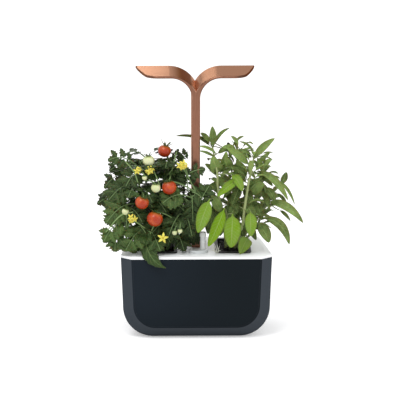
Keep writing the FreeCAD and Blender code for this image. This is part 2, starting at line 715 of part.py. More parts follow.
def float_stem():
    """Stem from the float up into the sight tube, with a wider tip."""
    x, y = GAUGE
    rod = post(x, y, (FLOAT_Z[1], CAP_TOP + 3.0), STEM_RADIUS)
    tip = post(x, y, (CAP_TOP + 1.0, CAP_TOP + 6.0), GAUGE_BORE - 0.5)
    rims = [edge for edge in tip.Edges if edge.BoundBox.ZLength < 0.01]
    return rod.fuse(tip.makeFillet(0.8, rims)).removeSplitter()


def rounded_rectangle(wide, long, radius, z):
    """Wire of a rounded rectangle centred on the right pod's axis."""
    solid = soft_box((POD_X - wide / 2, POD_X + wide / 2), (POD_Y - long / 2, POD_Y + long / 2), (z, z + 1.0), radius)
    for face in solid.Faces:
        if face.BoundBox.ZMax < z + 0.01:
            return face.OuterWire
    return None


def pod_form(inset, z_range):
    """Tapering body of a pod, set in by a wall."""
    def size_at(z):
        share = (DECK_TOP - z) / (DECK_TOP - POD_BASE)
        return (POD_WIDE - POD_TAPER * share - 2 * inset, POD_LONG - POD_TAPER * share - 2 * inset)
    low = rounded_rectangle(*size_at(z_range[0]), 6.0, z_range[0])
    high = rounded_rectangle(*size_at(z_range[1]), 6.0, z_range[1])
    return Part.makeLoft([low, high], True, True)


def wick_places():
    return [POD_Y - 20.0, POD_Y + 20.0]


def pod_cup_right():
    """Black pod shell: tapering cup with a flange on the deck and slots for its wicks."""
    wide = POD_WIDE / 2 + POD_FLANGE
    long = POD_LONG / 2 + POD_FLANGE
    flange = soft_box((POD_X - wide, POD_X + wide), (POD_Y - long, POD_Y + long), (DECK_TOP, FLANGE_TOP), 8.0)
    cup = pod_form(0.0, (POD_BASE, FLANGE_TOP - 0.4)).fuse(flange)
    cuts = [pod_form(POD_WALL, (POD_BASE + 2.0, FLANGE_TOP + 2.0))]
    for y in wick_places():
        cuts.append(box((POD_X - 10.1, POD_X + 10.1), (y - 1.1, y + 1.1), (POD_BASE - 1.0, POD_BASE + 3.0)))
    return cup.cut(cuts)


def soil_right():
    """Growing block that fills the cup and crowns above it."""
    block = pod_form(POD_WALL + 0.1, (POD_BASE + 2.0, SOIL_TOP + 1.0))
    crown = Part.makeSphere(SOIL_CROWN, V(POD_X, POD_Y, SOIL_TOP - SOIL_CROWN))
    return block.common(crown)


def wicks_right():
    """Felt strips that hang from the pod into the water."""
    strips = []
    for y in wick_places():
        strips.append(box((POD_X - 10.0, POD_X + 10.0), (y - 1.0, y + 1.0), (16.0, POD_BASE + 2.0)))
    return group(strips)


def stem(foot, head, radii):
    """Straight tapering stem between two points."""
    start = V(*foot)
    along = V(*head) - start
    return Part.makeCone(radii[0], radii[1], along.Length, start, along)


def tomato_stems():
    """Three leaning stems that root in the left growing block."""
    stems = [
        stem((-58.0, 2.0, 137.0), (-52.0, -4.0, 235.0), (3.2, 2.0)),
        stem((-68.0, -6.0, 137.0), (-96.0, -22.0, 215.0), (2.8, 1.8)),
        stem((-62.0, 12.0, 137.0), (-80.0, 26.0, 225.0), (2.6, 1.8)),
    ]
    return group(stems)


def sage_stems():
    """Four woody stems that root in the right growing block."""
    stems = [
        stem((60.0, 0.0, 137.0), (74.0, 0.0, 250.0), (3.0, 2.0)),
        stem((52.0, -8.0, 137.0), (32.0, -22.0, 230.0), (2.6, 1.8)),
        stem((68.0, 8.0, 137.0), (104.0, 18.0, 235.0), (2.6, 1.8)),
        stem((58.0, 14.0, 137.0), (50.0, 34.0, 235.0), (2.6, 1.8)),
    ]
    return group(stems)


def fruit(places):
    """Round fruit from a list of centres and radii."""
    return group([Part.makeSphere(radius, V(x, y, z)) for x, y, z, radius in places])


def flower_heads():
    """Small blossom cups that face the front."""
    return group([rod_y(x, z, (y - 1.2, y + 1.2), 4.0) for x, y, z in FLOWERS])


PIECES = {
    "tank_shell": tank_shell,
    "reservoir_liner": reservoir_liner,
    "rubber_feet": rubber_feet,
    "planting_tray": tray,
    "fill_neck": fill_neck,
    "mast_collar": mast_collar,
    "mast_sleeve": mast_sleeve,
    "sleeve_screws": sleeve_screws,
    "sleeve_seal": sleeve_seal,
    "mast_bushing": mast_bushing,
    "supply_lead": supply_lead,
    "service_lead": service_lead,
    "rear_panel": rear_panel,
    "rear_screws": rear_screws,
    "dc_inlet": dc_inlet,
    "power_button": power_button,
    "control_board": control_board,
    "board_parts": board_parts,
    "board_screws": board_screws,
    "fill_cap": fill_cap,
    "cap_seal": cap_seal,
    "gauge_tube": gauge_tube,
    "gauge_knob": gauge_knob,
    "gauge_guide": gauge_guide,
    "float_body": float_body,
    "float_stem": float_stem,
    "mast_foot": mast_foot,
    "foot_pins": foot_pins,
    "tomato_stems": tomato_stems,
    "sage_stems": sage_stems,
}

LAMP_PAIRS = {
    "ribbon": ribbon_left,
    "led_board": led_board_left,
    "led_chips": led_chips_left,
    "diffuser": diffuser_left,
}

FOLIAGE = {
    "tomato_foliage": TOMATO_CROWN,
    "tomato_front_shoots": TOMATO_FRONT,
    "tomato_lip_shoot": TOMATO_LIP,
    "sage_foliage": SAGE_CROWN,
    "sage_front_shoots": SAGE_FRONT,
}

POD_PAIRS = {
    "pod_cup": pod_cup_right,
    "soil": soil_right,
    "wicks": wicks_right,
}


def main():
    os.makedirs("parts", exist_ok=True)
    for name, make in PIECES.items():
        save(name, make())
    for name, make in LAMP_PAIRS.items():
        left = make()
        save(name + "_left", left)
        save(name + "_right", mirrored(left))
    for name, make in POD_PAIRS.items():
        right = make()
        save(name + "_right", right)
        save(name + "_left", mirrored(right))
    for name, envelope in FOLIAGE.items():
        save(name, foliage(envelope))
    save("tomato_red_fruit", fruit(RED_FRUIT))
    save("tomato_green_fruit", fruit(GREEN_FRUIT))
    save("tomato_flowers", flower_heads())


main()
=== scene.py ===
"""Looks of a countertop hydroponic garden: a gloss tank, a white tray, a brushed lamp,
and a tomato and a sage plant built leaf by leaf. Lengths are in millimetres until a piece is made."""

import math
import random
from collections import namedtuple

import bpy
import numpy as np
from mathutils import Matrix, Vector, noise


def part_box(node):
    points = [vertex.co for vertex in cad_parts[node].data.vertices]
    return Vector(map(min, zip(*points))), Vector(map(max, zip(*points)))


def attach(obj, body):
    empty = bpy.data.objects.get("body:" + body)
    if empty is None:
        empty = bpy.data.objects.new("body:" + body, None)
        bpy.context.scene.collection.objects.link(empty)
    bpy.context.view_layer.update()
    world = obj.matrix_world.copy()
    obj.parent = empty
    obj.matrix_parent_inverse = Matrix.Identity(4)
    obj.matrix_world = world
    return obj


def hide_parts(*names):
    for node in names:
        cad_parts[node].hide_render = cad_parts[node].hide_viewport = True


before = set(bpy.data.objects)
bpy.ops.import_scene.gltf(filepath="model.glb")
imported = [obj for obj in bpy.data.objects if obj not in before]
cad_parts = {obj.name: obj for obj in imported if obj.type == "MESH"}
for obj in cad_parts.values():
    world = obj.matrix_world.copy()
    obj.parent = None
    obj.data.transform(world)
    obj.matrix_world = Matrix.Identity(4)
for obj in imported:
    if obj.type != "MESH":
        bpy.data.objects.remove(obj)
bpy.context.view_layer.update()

MM = 0.001
FRAME_PIXELS = 400.0
UP = Vector((0, 0, 1.0))
WHITE = (1.0, 1.0, 1.0, 1.0)

# The camera, fitted to the photograph's view.
AZIMUTH = -1.26
ELEVATION = 11.92
DISTANCE = 12000.0
LENS = 680.0
SENSOR = 36.0
AIM = Vector((6.85, 0.0, 209.3))

# Places taken from the frame, in millimetres, and half the mast's thickness.
MAST_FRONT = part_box("ribbon_left")[0].y / MM
MAST_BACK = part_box("ribbon_left")[1].y / MM
MAST_HALF = 6.5
SOIL_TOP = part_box("soil_left")[1].z / MM
KNOB_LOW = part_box("gauge_knob")[0] / MM
KNOB_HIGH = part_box("gauge_knob")[1] / MM

# Where the paint changes, in metres: the tank's front, the depth of its band, which carries a painted
# reflection, and the height above which shade is painted into the lamp's bends.
FRONT_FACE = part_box("tank_shell")[0].y
BAND_DEPTH = 0.017
BEND_LOW = 0.372


def add_object(name, data):
    """A new object of the scene, holding the data."""
    made = bpy.data.objects.new(name, data)
    bpy.context.scene.collection.objects.link(made)
    return made


def look_along(made, place, way):
    """Puts a camera or a lamp at a place in metres, looking along a direction."""
    made.location = place
    made.rotation_mode = "QUATERNION"
    made.rotation_quaternion = way.to_track_quat("-Z", "Y")


def view_axes():
    """Backward, right and up directions of the camera."""
    turn = math.radians(AZIMUTH)
    tilt = math.radians(ELEVATION)
    back = Vector((math.sin(turn) * math.cos(tilt), -math.cos(turn) * math.cos(tilt), math.sin(tilt)))
    right = Vector((math.cos(turn), math.sin(turn), 0.0))
    return back, right, back.cross(right)


def place_camera():
    back = view_axes()[0]
    data = bpy.data.cameras.new("camera")
    data.lens = LENS
    data.sensor_width = SENSOR
    data.clip_start = 1.0
    data.clip_end = 60.0
    camera = add_object("camera", data)
    look_along(camera, (AIM + back * DISTANCE) * MM, -back)
    bpy.context.scene.camera = camera


def seen(column, row, y):
    """The point at depth y that the photograph shows in that pixel."""
    back, right, up = view_axes()
    focal = LENS / SENSOR * FRAME_PIXELS
    half = FRAME_PIXELS / 2
    ray = right * ((column - half) / focal) + up * ((half - row) / focal) - back
    eye = AIM + back * DISTANCE
    return eye + ray * ((y - eye.y) / ray.y)


# Shader helpers.

class Nodes:
    """The nodes of a material or of the world, with short calls that add one more."""

    def __init__(self, owner, last):
        owner.use_nodes = True
        self.nodes = owner.node_tree.nodes
        self.links = owner.node_tree.links
        self.main = self.nodes[last]

    def put(self, socket, value):
        """Sets an input from a number, a colour or another node's output."""
        if isinstance(value, bpy.types.NodeSocket):
            self.links.new(value, socket)
        else:
            socket.default_value = value

    def set(self, **values):
        """Sets inputs of the last shader, written in lower case with underscores."""
        for key, value in values.items():
            name = key.replace("_", " ").title().replace("Ior", "IOR")
            self.put(self.main.inputs[name], value)

    def node(self, kind, inputs=None, **values):
        """Adds a node with these inputs, by name or number, and returns its outputs."""
        made = self.nodes.new(kind)
        for key, value in values.items():
            setattr(made, key, value)
        for key, value in (inputs or {}).items():
            self.put(made.inputs[key], value)
        return made.outputs

    def math(self, operation, first, second=0.0, clamp=False):
        inputs = {0: first, 1: second}
        return self.node("ShaderNodeMath", inputs, operation=operation, use_clamp=clamp)[0]

    def times(self, first, second):
        return self.math("MULTIPLY", first, second)

    def minus(self, first, second):
        return self.math("SUBTRACT", first, second)

    def size(self, value):
        return self.math("ABSOLUTE", value)

    def mix(self, share, first, second):
        """Blend of two colours."""
        return self.node("ShaderNodeMix", {"Factor": share, 6: first, 7: second}, data_type="RGBA")[2]

    def mix_values(self, share, first, second):
        """Blend of two plain values."""
        return self.node("ShaderNodeMix", {"Factor": share, 2: first, 3: second}, data_type="FLOAT")[0]

    def span(self, value, low, high):
        """Rescales a 0 to 1 value to run from low to high."""
        inputs = {"Value": value, "To Min": low, "To Max": high}
        return self.node("ShaderNodeMapRange", inputs)["Result"]

    def about(self, value, middle, share):
        """Rescales a 0 to 1 value to run a share below and above the middle."""
        return self.span(value, middle * (1 - share), middle * (1 + share))

    def step(self, value, low, high):
        """0 below low, 1 above high, smooth between."""
        inputs = {"Value": value, "From Min": low, "From Max": high}
        return self.node("ShaderNodeMapRange", inputs, interpolation_type="SMOOTHSTEP")["Result"]

    def ramp(self, share, colours):
        """Colour that runs through three stops, the second a little before the middle."""
        made = self.nodes.new("ShaderNodeValToRGB")
        stops = made.color_ramp.elements
        stops[0].color = colours[0]
        stops[1].color = colours[2]
        stops.new(0.45).color = colours[1]
        self.put(made.inputs["Fac"], share)
        return made.outputs["Color"]

    def place(self):
        return self.node("ShaderNodeTexCoord")["Object"]

    def facing(self):
        return self.node("ShaderNodeNewGeometry")["Normal"]

    def split(self, vector):
        """A vector's X, Y and Z."""
        return self.node("ShaderNodeSeparateXYZ", {"Vector": vector})

    def tone(self):
        """The tone attribute's Red and Green."""
        tone = self.node("ShaderNodeAttribute", attribute_name="tone", attribute_type="GEOMETRY")
        return self.node("ShaderNodeSeparateColor", {"Color": tone["Color"]})

    def stretched(self, scale):
        return self.node("ShaderNodeMapping", {"Vector": self.place(), "Scale": scale})["Vector"]

    def noise(self, scale, detail=4.0, vector=None, roughness=0.5):
        if vector is None:
            vector = self.place()
        inputs = {"Vector": vector, "Scale": scale, "Detail": detail, "Roughness": roughness}
        return self.node("ShaderNodeTexNoise", inputs)["Fac"]

    def cells(self, scale, **values):
        """Distance to the borders of a cell pattern."""
        inputs = {"Vector": self.place(), "Scale": scale}
        return self.node("ShaderNodeTexVoronoi", inputs, feature="DISTANCE_TO_EDGE", **values)["Distance"]

    def bump(self, height, strength, distance):
        inputs = {"Strength": strength, "Distance": distance, "Height": height}
        self.set(normal=self.node("ShaderNodeBump", inputs)["Normal"])


class Shader(Nodes):
    """A material's nodes with one principled shader."""

    def __init__(self, name):
        self.material = bpy.data.materials.new(name)
        super().__init__(self.material, "Principled BSDF")


def rgb(red, green, blue):
    return (red, green, blue, 1.0)


def tinted(colour, share):
    """The colour made darker or lighter by a share."""
    return rgb(*[share * part for part in colour])


# Materials.

def moulded(name, colour, rough, grain=900.0, depth=0.00004, **extra):
    """Moulded plastic or rubber: a faint tone drift and a fine surface grain."""
    shader = Shader(name)
    drift = shader.span(shader.noise(9.0, 3.0), 0.94, 1.06)
    shader.set(base_color=shader.mix(drift, tinted(colour, 0.93), rgb(*colour)))
    shader.set(roughness=shader.about(shader.noise(60.0, 4.0), rough, 0.12), **extra)
    shader.bump(shader.noise(grain, 2.0), 0.25, depth)
    return shader.material


def gloss_shell():
    """Deep blue-black plastic: a calm dark front with painted light towards its upper left, inside a band
    made paler by a painted reflection, and rougher sides.
    """
    shader = Shader("gloss_anthracite")
    haze = shader.noise(7.0, 5.0)
    place = shader.split(shader.place())
    # Painted light: the front is lighter and bluer towards its left and top, and darker towards its right
    # and bottom.
    rightward = shader.step(place["X"], -0.10, 0.07)
    upward = shader.step(place["Z"], 0.02, 0.07)
    painted_light_share = shader.times(shader.minus(1.0, rightward), shader.span(upward, 0.55, 1.0))
    front_painted_light = shader.mix(haze, rgb(0.0098, 0.0150, 0.0214), rgb(0.0116, 0.0172, 0.0240))
    plain = shader.mix(haze, rgb(0.0052, 0.0086, 0.0114), rgb(0.0068, 0.0106, 0.0138))
    front = shader.mix(painted_light_share, plain, front_painted_light)
    # Painted reflection: the band's dark plastic is made paler, standing in for the white surroundings
    # that it mirrors.
    band_with_painted_reflection = shader.mix(haze, rgb(0.036, 0.044, 0.054), rgb(0.043, 0.052, 0.063))
    sides = shader.mix(haze, rgb(0.0085, 0.0140, 0.0215), rgb(0.0115, 0.0175, 0.0260))
    off_front = shader.step(place["Y"], FRONT_FACE + 0.0003, FRONT_FACE + 0.0010)
    band_end = FRONT_FACE + BAND_DEPTH
    behind = shader.step(place["Y"], band_end - 0.0012, band_end)
    shader.set(base_color=shader.mix(off_front, front, shader.mix(behind, band_with_painted_reflection, sides)))
    sideways = shader.step(shader.size(shader.split(shader.facing())["X"]), 0.86, 0.97)
    worn = shader.span(shader.noise(45.0, 6.0), 0.16, 0.24)
    shader.set(roughness=shader.math("ADD", worn, shader.times(sideways, 0.22)))
    shader.set(specular_ior_level=0.07)
    shader.bump(shader.noise(30.0, 2.0), 0.08, 0.0004)
    return shader.material


def brushed(name, colour, rough, anisotropy):
    """Anodised metal, brushed along the ribbon from the mast's foot to each tip, with painted shade in its
    bends, darker in the left one, and painted light in the valley between them.
    """
    shader = Shader(name)
    facing = shader.split(shader.facing())
    place = shader.split(shader.place())
    on_edge = shader.step(shader.size(facing["Y"]), 0.4, 0.8)
    lines = shader.noise(1.0, 5.0, shader.stretched((10.0, 1100.0, 10.0)), 0.7)
    grain = shader.noise(1.0, 4.0, shader.stretched((500.0, 1.0, 60.0)), 0.6)
    both = shader.step(shader.mix_values(on_edge, lines, grain), 0.30, 0.70)
    # Painted shade: above BEND_LOW the bends' colour is pulled towards black, more where the surface faces
    # right, in the left bend.
    above = shader.step(place["Z"], BEND_LOW, BEND_LOW + 0.012)
    turned = shader.times(above, shader.step(shader.size(facing["X"]), 0.05, 0.45))
    off_seam = shader.step(shader.size(place["X"]), 0.003, 0.009)
    painted_bend_mask = shader.times(turned, off_seam)
    valley_painted_light = shader.times(turned, shader.minus(1.0, off_seam))
    leftward = shader.step(facing["X"], 0.1, -0.1)
    plain = shader.mix(both, tinted(colour, 0.90), tinted(colour, 1.10))
    deep = shader.mix(shader.mix_values(leftward, 0.60, 0.40), plain, rgb(0.0, 0.0, 0.0))
    with_bend_shade_painted = shader.mix(painted_bend_mask, plain, deep)
    # Painted light: in the valley where the two bends meet, the colour is set to a lighter copper.
    shader.set(base_color=shader.mix(valley_painted_light, with_bend_shade_painted, rgb(0.42, 0.225, 0.155)))
    # Painted reflection: in the bends the specular tint is darkened, more where the surface faces right,
    # in the left bend.
    shade = shader.mix(leftward, rgb(0.62, 0.36, 0.25), rgb(0.84, 0.62, 0.50))
    shader.set(specular_tint=shader.mix(painted_bend_mask, rgb(1.0, 0.74, 0.58), shade))
    shader.set(roughness=shader.about(both, rough, 0.15), metallic=1.0, anisotropic=anisotropy)
    shader.set(tangent=shader.node("ShaderNodeCombineXYZ", {"X": 0.02, "Y": 1.0})["Vector"])
    shader.bump(both, 0.10, 0.00004)
    return shader.material


def steel(name, colour, rough):
    shader = Shader(name)
    grain = shader.noise(400.0, 4.0)
    shader.set(base_color=shader.mix(grain, tinted(colour, 0.8), rgb(*colour)))
    shader.set(roughness=shader.about(grain, rough, 0.2), metallic=1.0)
    shader.bump(grain, 0.1, 0.00003)
    return shader.material


def milky():
    """Cloudy clear plastic of the sight tube."""
    shader = Shader("milky_plastic")
    cloud = shader.noise(120.0, 4.0)
    shader.set(base_color=shader.mix(cloud, rgb(0.90, 0.92, 0.91), rgb(0.97, 0.98, 0.97)))
    shader.set(roughness=shader.span(cloud, 0.18, 0.34), transmission_weight=0.12, ior=1.46)
    shader.bump(cloud, 0.08, 0.0001)
    return shader.material


def frosted():
    shader = Shader("frosted_cover")
    cloud = shader.noise(300.0, 3.0)
    shader.set(base_color=shader.mix(cloud, rgb(0.80, 0.80, 0.78), rgb(0.90, 0.90, 0.88)))
    shader.set(roughness=shader.span(cloud, 0.40, 0.60))
    shader.bump(shader.noise(1500.0, 2.0), 0.3, 0.00004)
    return shader.material


def felt():
    shader = Shader("felt")
    fibres = shader.noise(900.0, 8.0, None, 0.8)
    shader.set(base_color=shader.mix(fibres, rgb(0.55, 0.54, 0.50), rgb(0.80, 0.79, 0.74)))
    shader.set(roughness=0.95)
    shader.bump(fibres, 0.8, 0.0003)
    return shader.material


def circuit():
    shader = Shader("circuit_board")
    tracks = shader.step(shader.cells(160.0, distance="MANHATTAN"), 0.03, 0.06)
    shader.set(base_color=shader.mix(tracks, rgb(0.05, 0.26, 0.10), rgb(0.012, 0.10, 0.035)))
    shader.set(roughness=0.35)
    return shader.material


def peat():
    """Wet black growing medium with a few brown fibres."""
    shader = Shader("peat")
    fibres = shader.noise(420.0, 8.0, None, 0.75)
    brown = shader.step(fibres, 0.58, 0.72)
    shader.set(base_color=shader.mix(brown, rgb(0.006, 0.005, 0.005), rgb(0.055, 0.036, 0.022)))
    shader.set(roughness=shader.span(fibres, 0.55, 0.95))
    shader.bump(fibres, 1.0, 0.0008)
    return shader.material


def leaf_material(name, shades, vein, pairs, network, rough, ribs, sheen):
    """Leaf skin. The tone attribute says how fresh each leaf is, with painted shade in its low values for
    leaves deep in the plant, and which side of it is the underside.
    """
    shader = Shader(name)
    tone = shader.tone()
    leaf = shader.split(shader.node("ShaderNodeUVMap", uv_map="leaf")["UV"])
    side = shader.size(leaf["Y"])
    mottle = shader.noise(150.0, 5.0)
    patches = shader.minus(shader.math("ADD", mottle, shader.noise(48.0, 2.0)), 1.0)
    # Low tones paint shade on the leaves deep in the plant, high tones give fresh lit green.
    freshness_and_painted_shade = shader.math("ADD", tone["Red"], shader.times(patches, 0.42), True)
    rib = shader.minus(1.0, shader.step(side, 0.02, 0.075))
    slant = shader.minus(shader.times(leaf["X"], pairs), shader.times(side, 1.7))
    wave = shader.size(shader.minus(shader.math("FRACT", slant), 0.5))
    twig = shader.minus(1.0, shader.step(wave, 0.03, 0.11))
    mesh = shader.minus(1.0, shader.step(shader.cells(network), 0.02, 0.16))
    lines = shader.math("MAXIMUM", rib, shader.times(twig, 0.55))
    pale = shader.math("MAXIMUM", lines, shader.times(mesh, 0.22))
    colour = shader.mix(shader.times(pale, ribs), shader.ramp(freshness_and_painted_shade, shades), vein)
    colour = shader.mix(tone["Green"], colour, shader.mix(0.45, colour, vein))
    edge = shader.times(shader.step(side, 0.72, 1.0), 0.34)
    shader.set(base_color=shader.mix(edge, colour, shades[0]))
    shader.set(roughness=shader.about(mottle, rough, 0.15), specular_ior_level=sheen)
    shader.set(subsurface_weight=0.12, subsurface_scale=0.002)
    shader.bump(shader.minus(shader.times(mesh, -0.6), lines), 0.55, 0.0004)
    return shader.material


def stalk_material(name, low, high):
    """Stem skin: ribbed along its length and mottled, from the tone attribute."""
    shader = Shader(name)
    mottle = shader.noise(260.0, 5.0)
    uneven = shader.times(shader.minus(mottle, 0.5), 0.7)
    share = shader.math("ADD", shader.tone()["Red"], uneven, True)
    shader.set(base_color=shader.mix(share, low, high))
    shader.set(roughness=shader.span(mottle, 0.45, 0.75))
    shader.bump(shader.noise(1.0, 3.0, shader.stretched((1400.0, 1400.0, 160.0))), 0.4, 0.0002)
    return shader.material


def fruit_skin(name, body, blush, crown):
    """Taut fruit skin: the tone attribute runs from the crown to the lower end."""
    shader = Shader(name)
    mottle = shader.noise(95.0, 4.0)
    colour = shader.mix(shader.step(mottle, 0.40, 0.66), body, blush)
    height = shader.math("ADD", shader.tone()["Red"], shader.times(mottle, 0.12))
    shader.set(base_color=shader.mix(shader.step(height, 0.84, 1.04), colour, crown))
    shader.set(roughness=shader.span(shader.noise(700.0, 3.0), 0.22, 0.34))
    shader.set(specular_ior_level=0.36, coat_weight=0.08, coat_roughness=0.12)
    shader.set(subsurface_weight=0.05, subsurface_scale=0.003)
    shader.bump(shader.noise(1100.0, 2.0), 0.08, 0.00005)
    return shader.material


def petal_material():
    shader = Shader("yellow_petals")
    streak = shader.noise(500.0, 4.0)
    yellow = shader.mix(streak, rgb(0.66, 0.55, 0.03), rgb(0.80, 0.73, 0.16))
    shader.set(base_color=shader.mix(shader.tone()["Red"], yellow, rgb(0.60, 0.44, 0.02)))
    shader.set(roughness=0.6, subsurface_weight=0.2, subsurface_scale=0.001)
    shader.bump(streak, 0.3, 0.0001)
    return shader.material


# Mesh building: the angle from which an edge is sharp, and the range of the seeds of ripples.
SHARP_ANGLE = math.radians(50.0)
SEEDS = (0, 90)


class Builder:
    """Collects the surfaces of one piece: points in millimetres, faces, leaf coordinates and tones."""

    def __init__(self):
        self.points = []
        self.faces = []
        self.coords = []
        self.tones = []

    def add(self, point, coord=(0.0, 0.0), tone=(0.0, 0.0)):
        self.points.append(tuple(point))
        self.coords.append(coord)
        self.tones.append(tone)
        return len(self.points) - 1

    def strip(self, rows, flip=False, closed=False):
        """Quads between neighbouring rows of indices."""
        for upper, lower in zip(rows[1:], rows[:-1]):
            count = len(upper) if closed else len(upper) - 1
            for i in range(count):
                j = (i + 1) % len(upper)
                quad = (lower[i], lower[j], upper[j], upper[i])
                corners = list(dict.fromkeys(reversed(quad) if flip else quad))
                if len(corners) > 2:
                    self.faces.append(tuple(corners))

    def ball(self, rows, top, bottom):
        """Faces of a round body: closed rows, and a point at each end."""
        sides = len(rows[0])
        self.strip(rows, closed=True)
        for k in range(sides):
            after = (k + 1) % sides
            self.faces.append((rows[0][after], rows[0][k], top))
            self.faces.append((rows[-1][k], rows[-1][after], bottom))

    def piece(self, name, material, body, slot, *replaced):
        """Makes the object, in the frame and in metres, and lets it ride on its body."""
        mesh = bpy.data.meshes.new(name)
        places = [(x * MM, y * MM, z * MM) for x, y, z in self.points]
        mesh.from_pydata(places, [], self.faces)
        leaf = mesh.uv_layers.new(name="leaf")
        corner = np.zeros(len(mesh.loops), np.int32)
        mesh.loops.foreach_get("vertex_index", corner)
        leaf.data.foreach_set("uv", np.array(self.coords, np.float32)[corner].ravel())
        tone = mesh.color_attributes.new("tone", "FLOAT_COLOR", "POINT")
        values = np.ones((len(self.points), 4), np.float32)
        values[:, :2] = np.array(self.tones, np.float32)
        values[:, 2] = 0.0
        tone.data.foreach_set("color", values.ravel())
        mesh.materials.append(material)
        mesh.polygons.foreach_set("use_smooth", [True] * len(mesh.polygons))
        mesh.set_sharp_from_angle(angle=SHARP_ANGLE)
        mesh.validate()
        made = add_object(name, mesh)
        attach(made, body)
        if replaced:
            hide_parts(*replaced)


def bent(base, bow, tip, count):
    """Points and directions along a curve from base to tip, pulled towards bow in the middle."""
    points, ways = [], []
    for i in range(count + 1):
        t = i / count
        points.append(base * (1 - t) ** 2 + bow * (2 * t * (1 - t)) + tip * t ** 2)
        ways.append(((bow - base) * (1 - t) + (tip - bow) * t).normalized())
    return points, ways


def square_to(axis, guide):
    """Two directions square to an axis and to each other."""
    side = axis.cross(guide).normalized()
    return side, axis.cross(side)


def spoke(sides, turn):
    """The direction at an angle between two square ones."""
    return sides[0] * math.cos(turn) + sides[1] * math.sin(turn)


def tube(builder, points, radii, tone, sides):
    """Closed tube through the points, with a radius at each."""
    rows = []
    guide = Vector((0.31, 0.83, 0.46))
    for i, point in enumerate(points):
        way = (points[min(i + 1, len(points) - 1)] - points[max(i - 1, 0)]).normalized()
        across = square_to(way, guide)
        row = []
        for k in range(sides):
            out = spoke(across, math.tau * k / sides)
            row.append(builder.add(point + out * radii[i], (i / len(points), k / sides), tone))
        rows.append(row)
    builder.strip(rows, closed=True)
    builder.faces.append(tuple(reversed(rows[0])))
    builder.faces.append(tuple(rows[-1]))


def tapered(builder, points, thick, thin, tone, sides=6):
    """Tube whose radius runs evenly from thick to thin; tone is how pale it is."""
    last = len(points) - 1
    radii = [thick + (thin - thick) * i / last for i in range(last + 1)]
    tube(builder, points, radii, (tone, 0.0), sides)


def smooth_line(points, per_run=6):
    """Catmull-Rom curve through the points."""
    padded = [points[0] * 2 - points[1]] + list(points) + [points[-1] * 2 - points[-2]]
    line = []
    for i in range(1, len(padded) - 2):
        a, b, c, d = padded[i - 1:i + 3]
        for k in range(per_run):
            t = k / per_run
            line.append(0.5 * ((2 * b) + (c - a) * t + (2 * a - 5 * b + 4 * c - d) * t ** 2
                               + (3 * b - a - 3 * c + d) * t ** 3))
    line.append(points[-1])
    return line


def sage_outline(t):
    """Half width of a sage blade, as a share of its greatest: a short stalk, then a long oval."""
    foot, thin = 0.10, 0.09
    if t < foot:
        return thin
    share = (t - foot) / (1 - foot)
    oval = max(0.0, math.sin(math.pi * share ** 0.88)) ** 0.72
    return thin + (1 - thin) * oval * (1 - 0.12 * share)


def tomato_outline(t):
    """Half width of a tomato leaflet: broad near its foot, pointed, with deep uneven lobes."""
    if t < 0.05:
        return 0.07
    body = math.sin(math.pi * t ** 0.70) ** 0.85 if t < 1 else 0.0
    lobes = 1 - ((t * 4.2 + 0.30) % 1.0)
    return 0.05 + max(0.0, body) * (0.48 + 0.52 * lobes)


def draped_outline(t):
    """Half width of the long leaf over the lip: shallow lobes and a drawn-out tip."""
    lobes = 1 - ((t * 5.2 + 0.3) % 1.0)
    return 0.05 + (0.80 + 0.20 * lobes) * math.sin(math.pi * t ** 0.62) ** 1.15


def needle_outline(t):
    """Half width of a sepal or petal."""
    return max(0.04, math.sin(math.pi * min(1.0, 0.18 + 0.82 * t)) ** 0.9)


# How a kind of blade is cut: its outline, how far its edges rise, how wavy it is, its rows and columns
# of quads, its thickness, and how far its edges reach ahead of its rib.
Leaf = namedtuple("Leaf", "outline cup ripple rows columns thickness forward", defaults=(0.0,))

SAGE_LEAF = Leaf(sage_outline, 0.52, 0.55, 18, 8, 0.7)
SAGE_FILL = Leaf(sage_outline, 0.30, 0.45, 12, 6, 0.7)
TOMATO_LEAF = Leaf(tomato_outline, -0.26, 1.2, 16, 6, 0.5, 0.40)
TOMATO_FILL = Leaf(tomato_outline, -0.26, 1.2, 11, 4, 0.5, 0.40)
DRAPED_LEAF = Leaf(draped_outline, -0.40, 1.6, 26, 10, 0.6, 0.20)
SEPAL = Leaf(needle_outline, 0.30, 0.1, 6, 4, 0.5)
PETAL = Leaf(needle_outline, 0.22, 0.1, 7, 4, 0.4)


# How often a blade ripples along and across, and the half width at which its ripples are full.
RIPPLES_ALONG = 5.0
RIPPLES_ACROSS = 1.4
FULL_RIPPLE = 4.0


def blade(builder, kind, base, tip, width, facing, bow, tone, seed):
    """One closed leaf blade from base to tip whose upper side looks towards facing."""
    if bow is None:
        bow = (base + tip) / 2
    points, ways = bent(base, bow, tip, kind.rows)
    top, under = [], []
    for i, (point, way) in enumerate(zip(points, ways)):
        t = i / kind.rows
        side = way.cross(facing)
        side = side.normalized() if side.length > 1e-4 else Vector((1.0, 0.0, 0.0))
        normal = side.cross(way).normalized()
        half = kind.outline(t) * width / 2
        row, back_row = [], []
        for j in range(kind.columns + 1):
            v = 2 * j / kind.columns - 1
            ruffle = noise.noise(Vector((t * RIPPLES_ALONG + seed, v * RIPPLES_ACROSS, seed * 0.7)))
            wave = kind.ripple * ruffle * (0.25 + abs(v)) * min(half, FULL_RIPPLE) * 0.35
            lift = kind.cup * half * (0.4 * v * v + 0.6 * abs(v)) + wave
            spot = point + side * (half * v) + normal * lift + way * (kind.forward * half * v * v)
            row.append(builder.add(spot, (t, v), (tone, 0.0)))
            if j in (0, kind.columns) or i in (0, kind.rows):
                back_row.append(row[-1])
            else:
                deep = kind.thickness * (1 - v * v) * min(1.0, 0.3 + half)
                back_row.append(builder.add(spot - normal * deep, (t, v), (tone, 1.0)))
        top.append(row)
        under.append(back_row)
    builder.strip(top, flip=True)
    builder.strip(under)


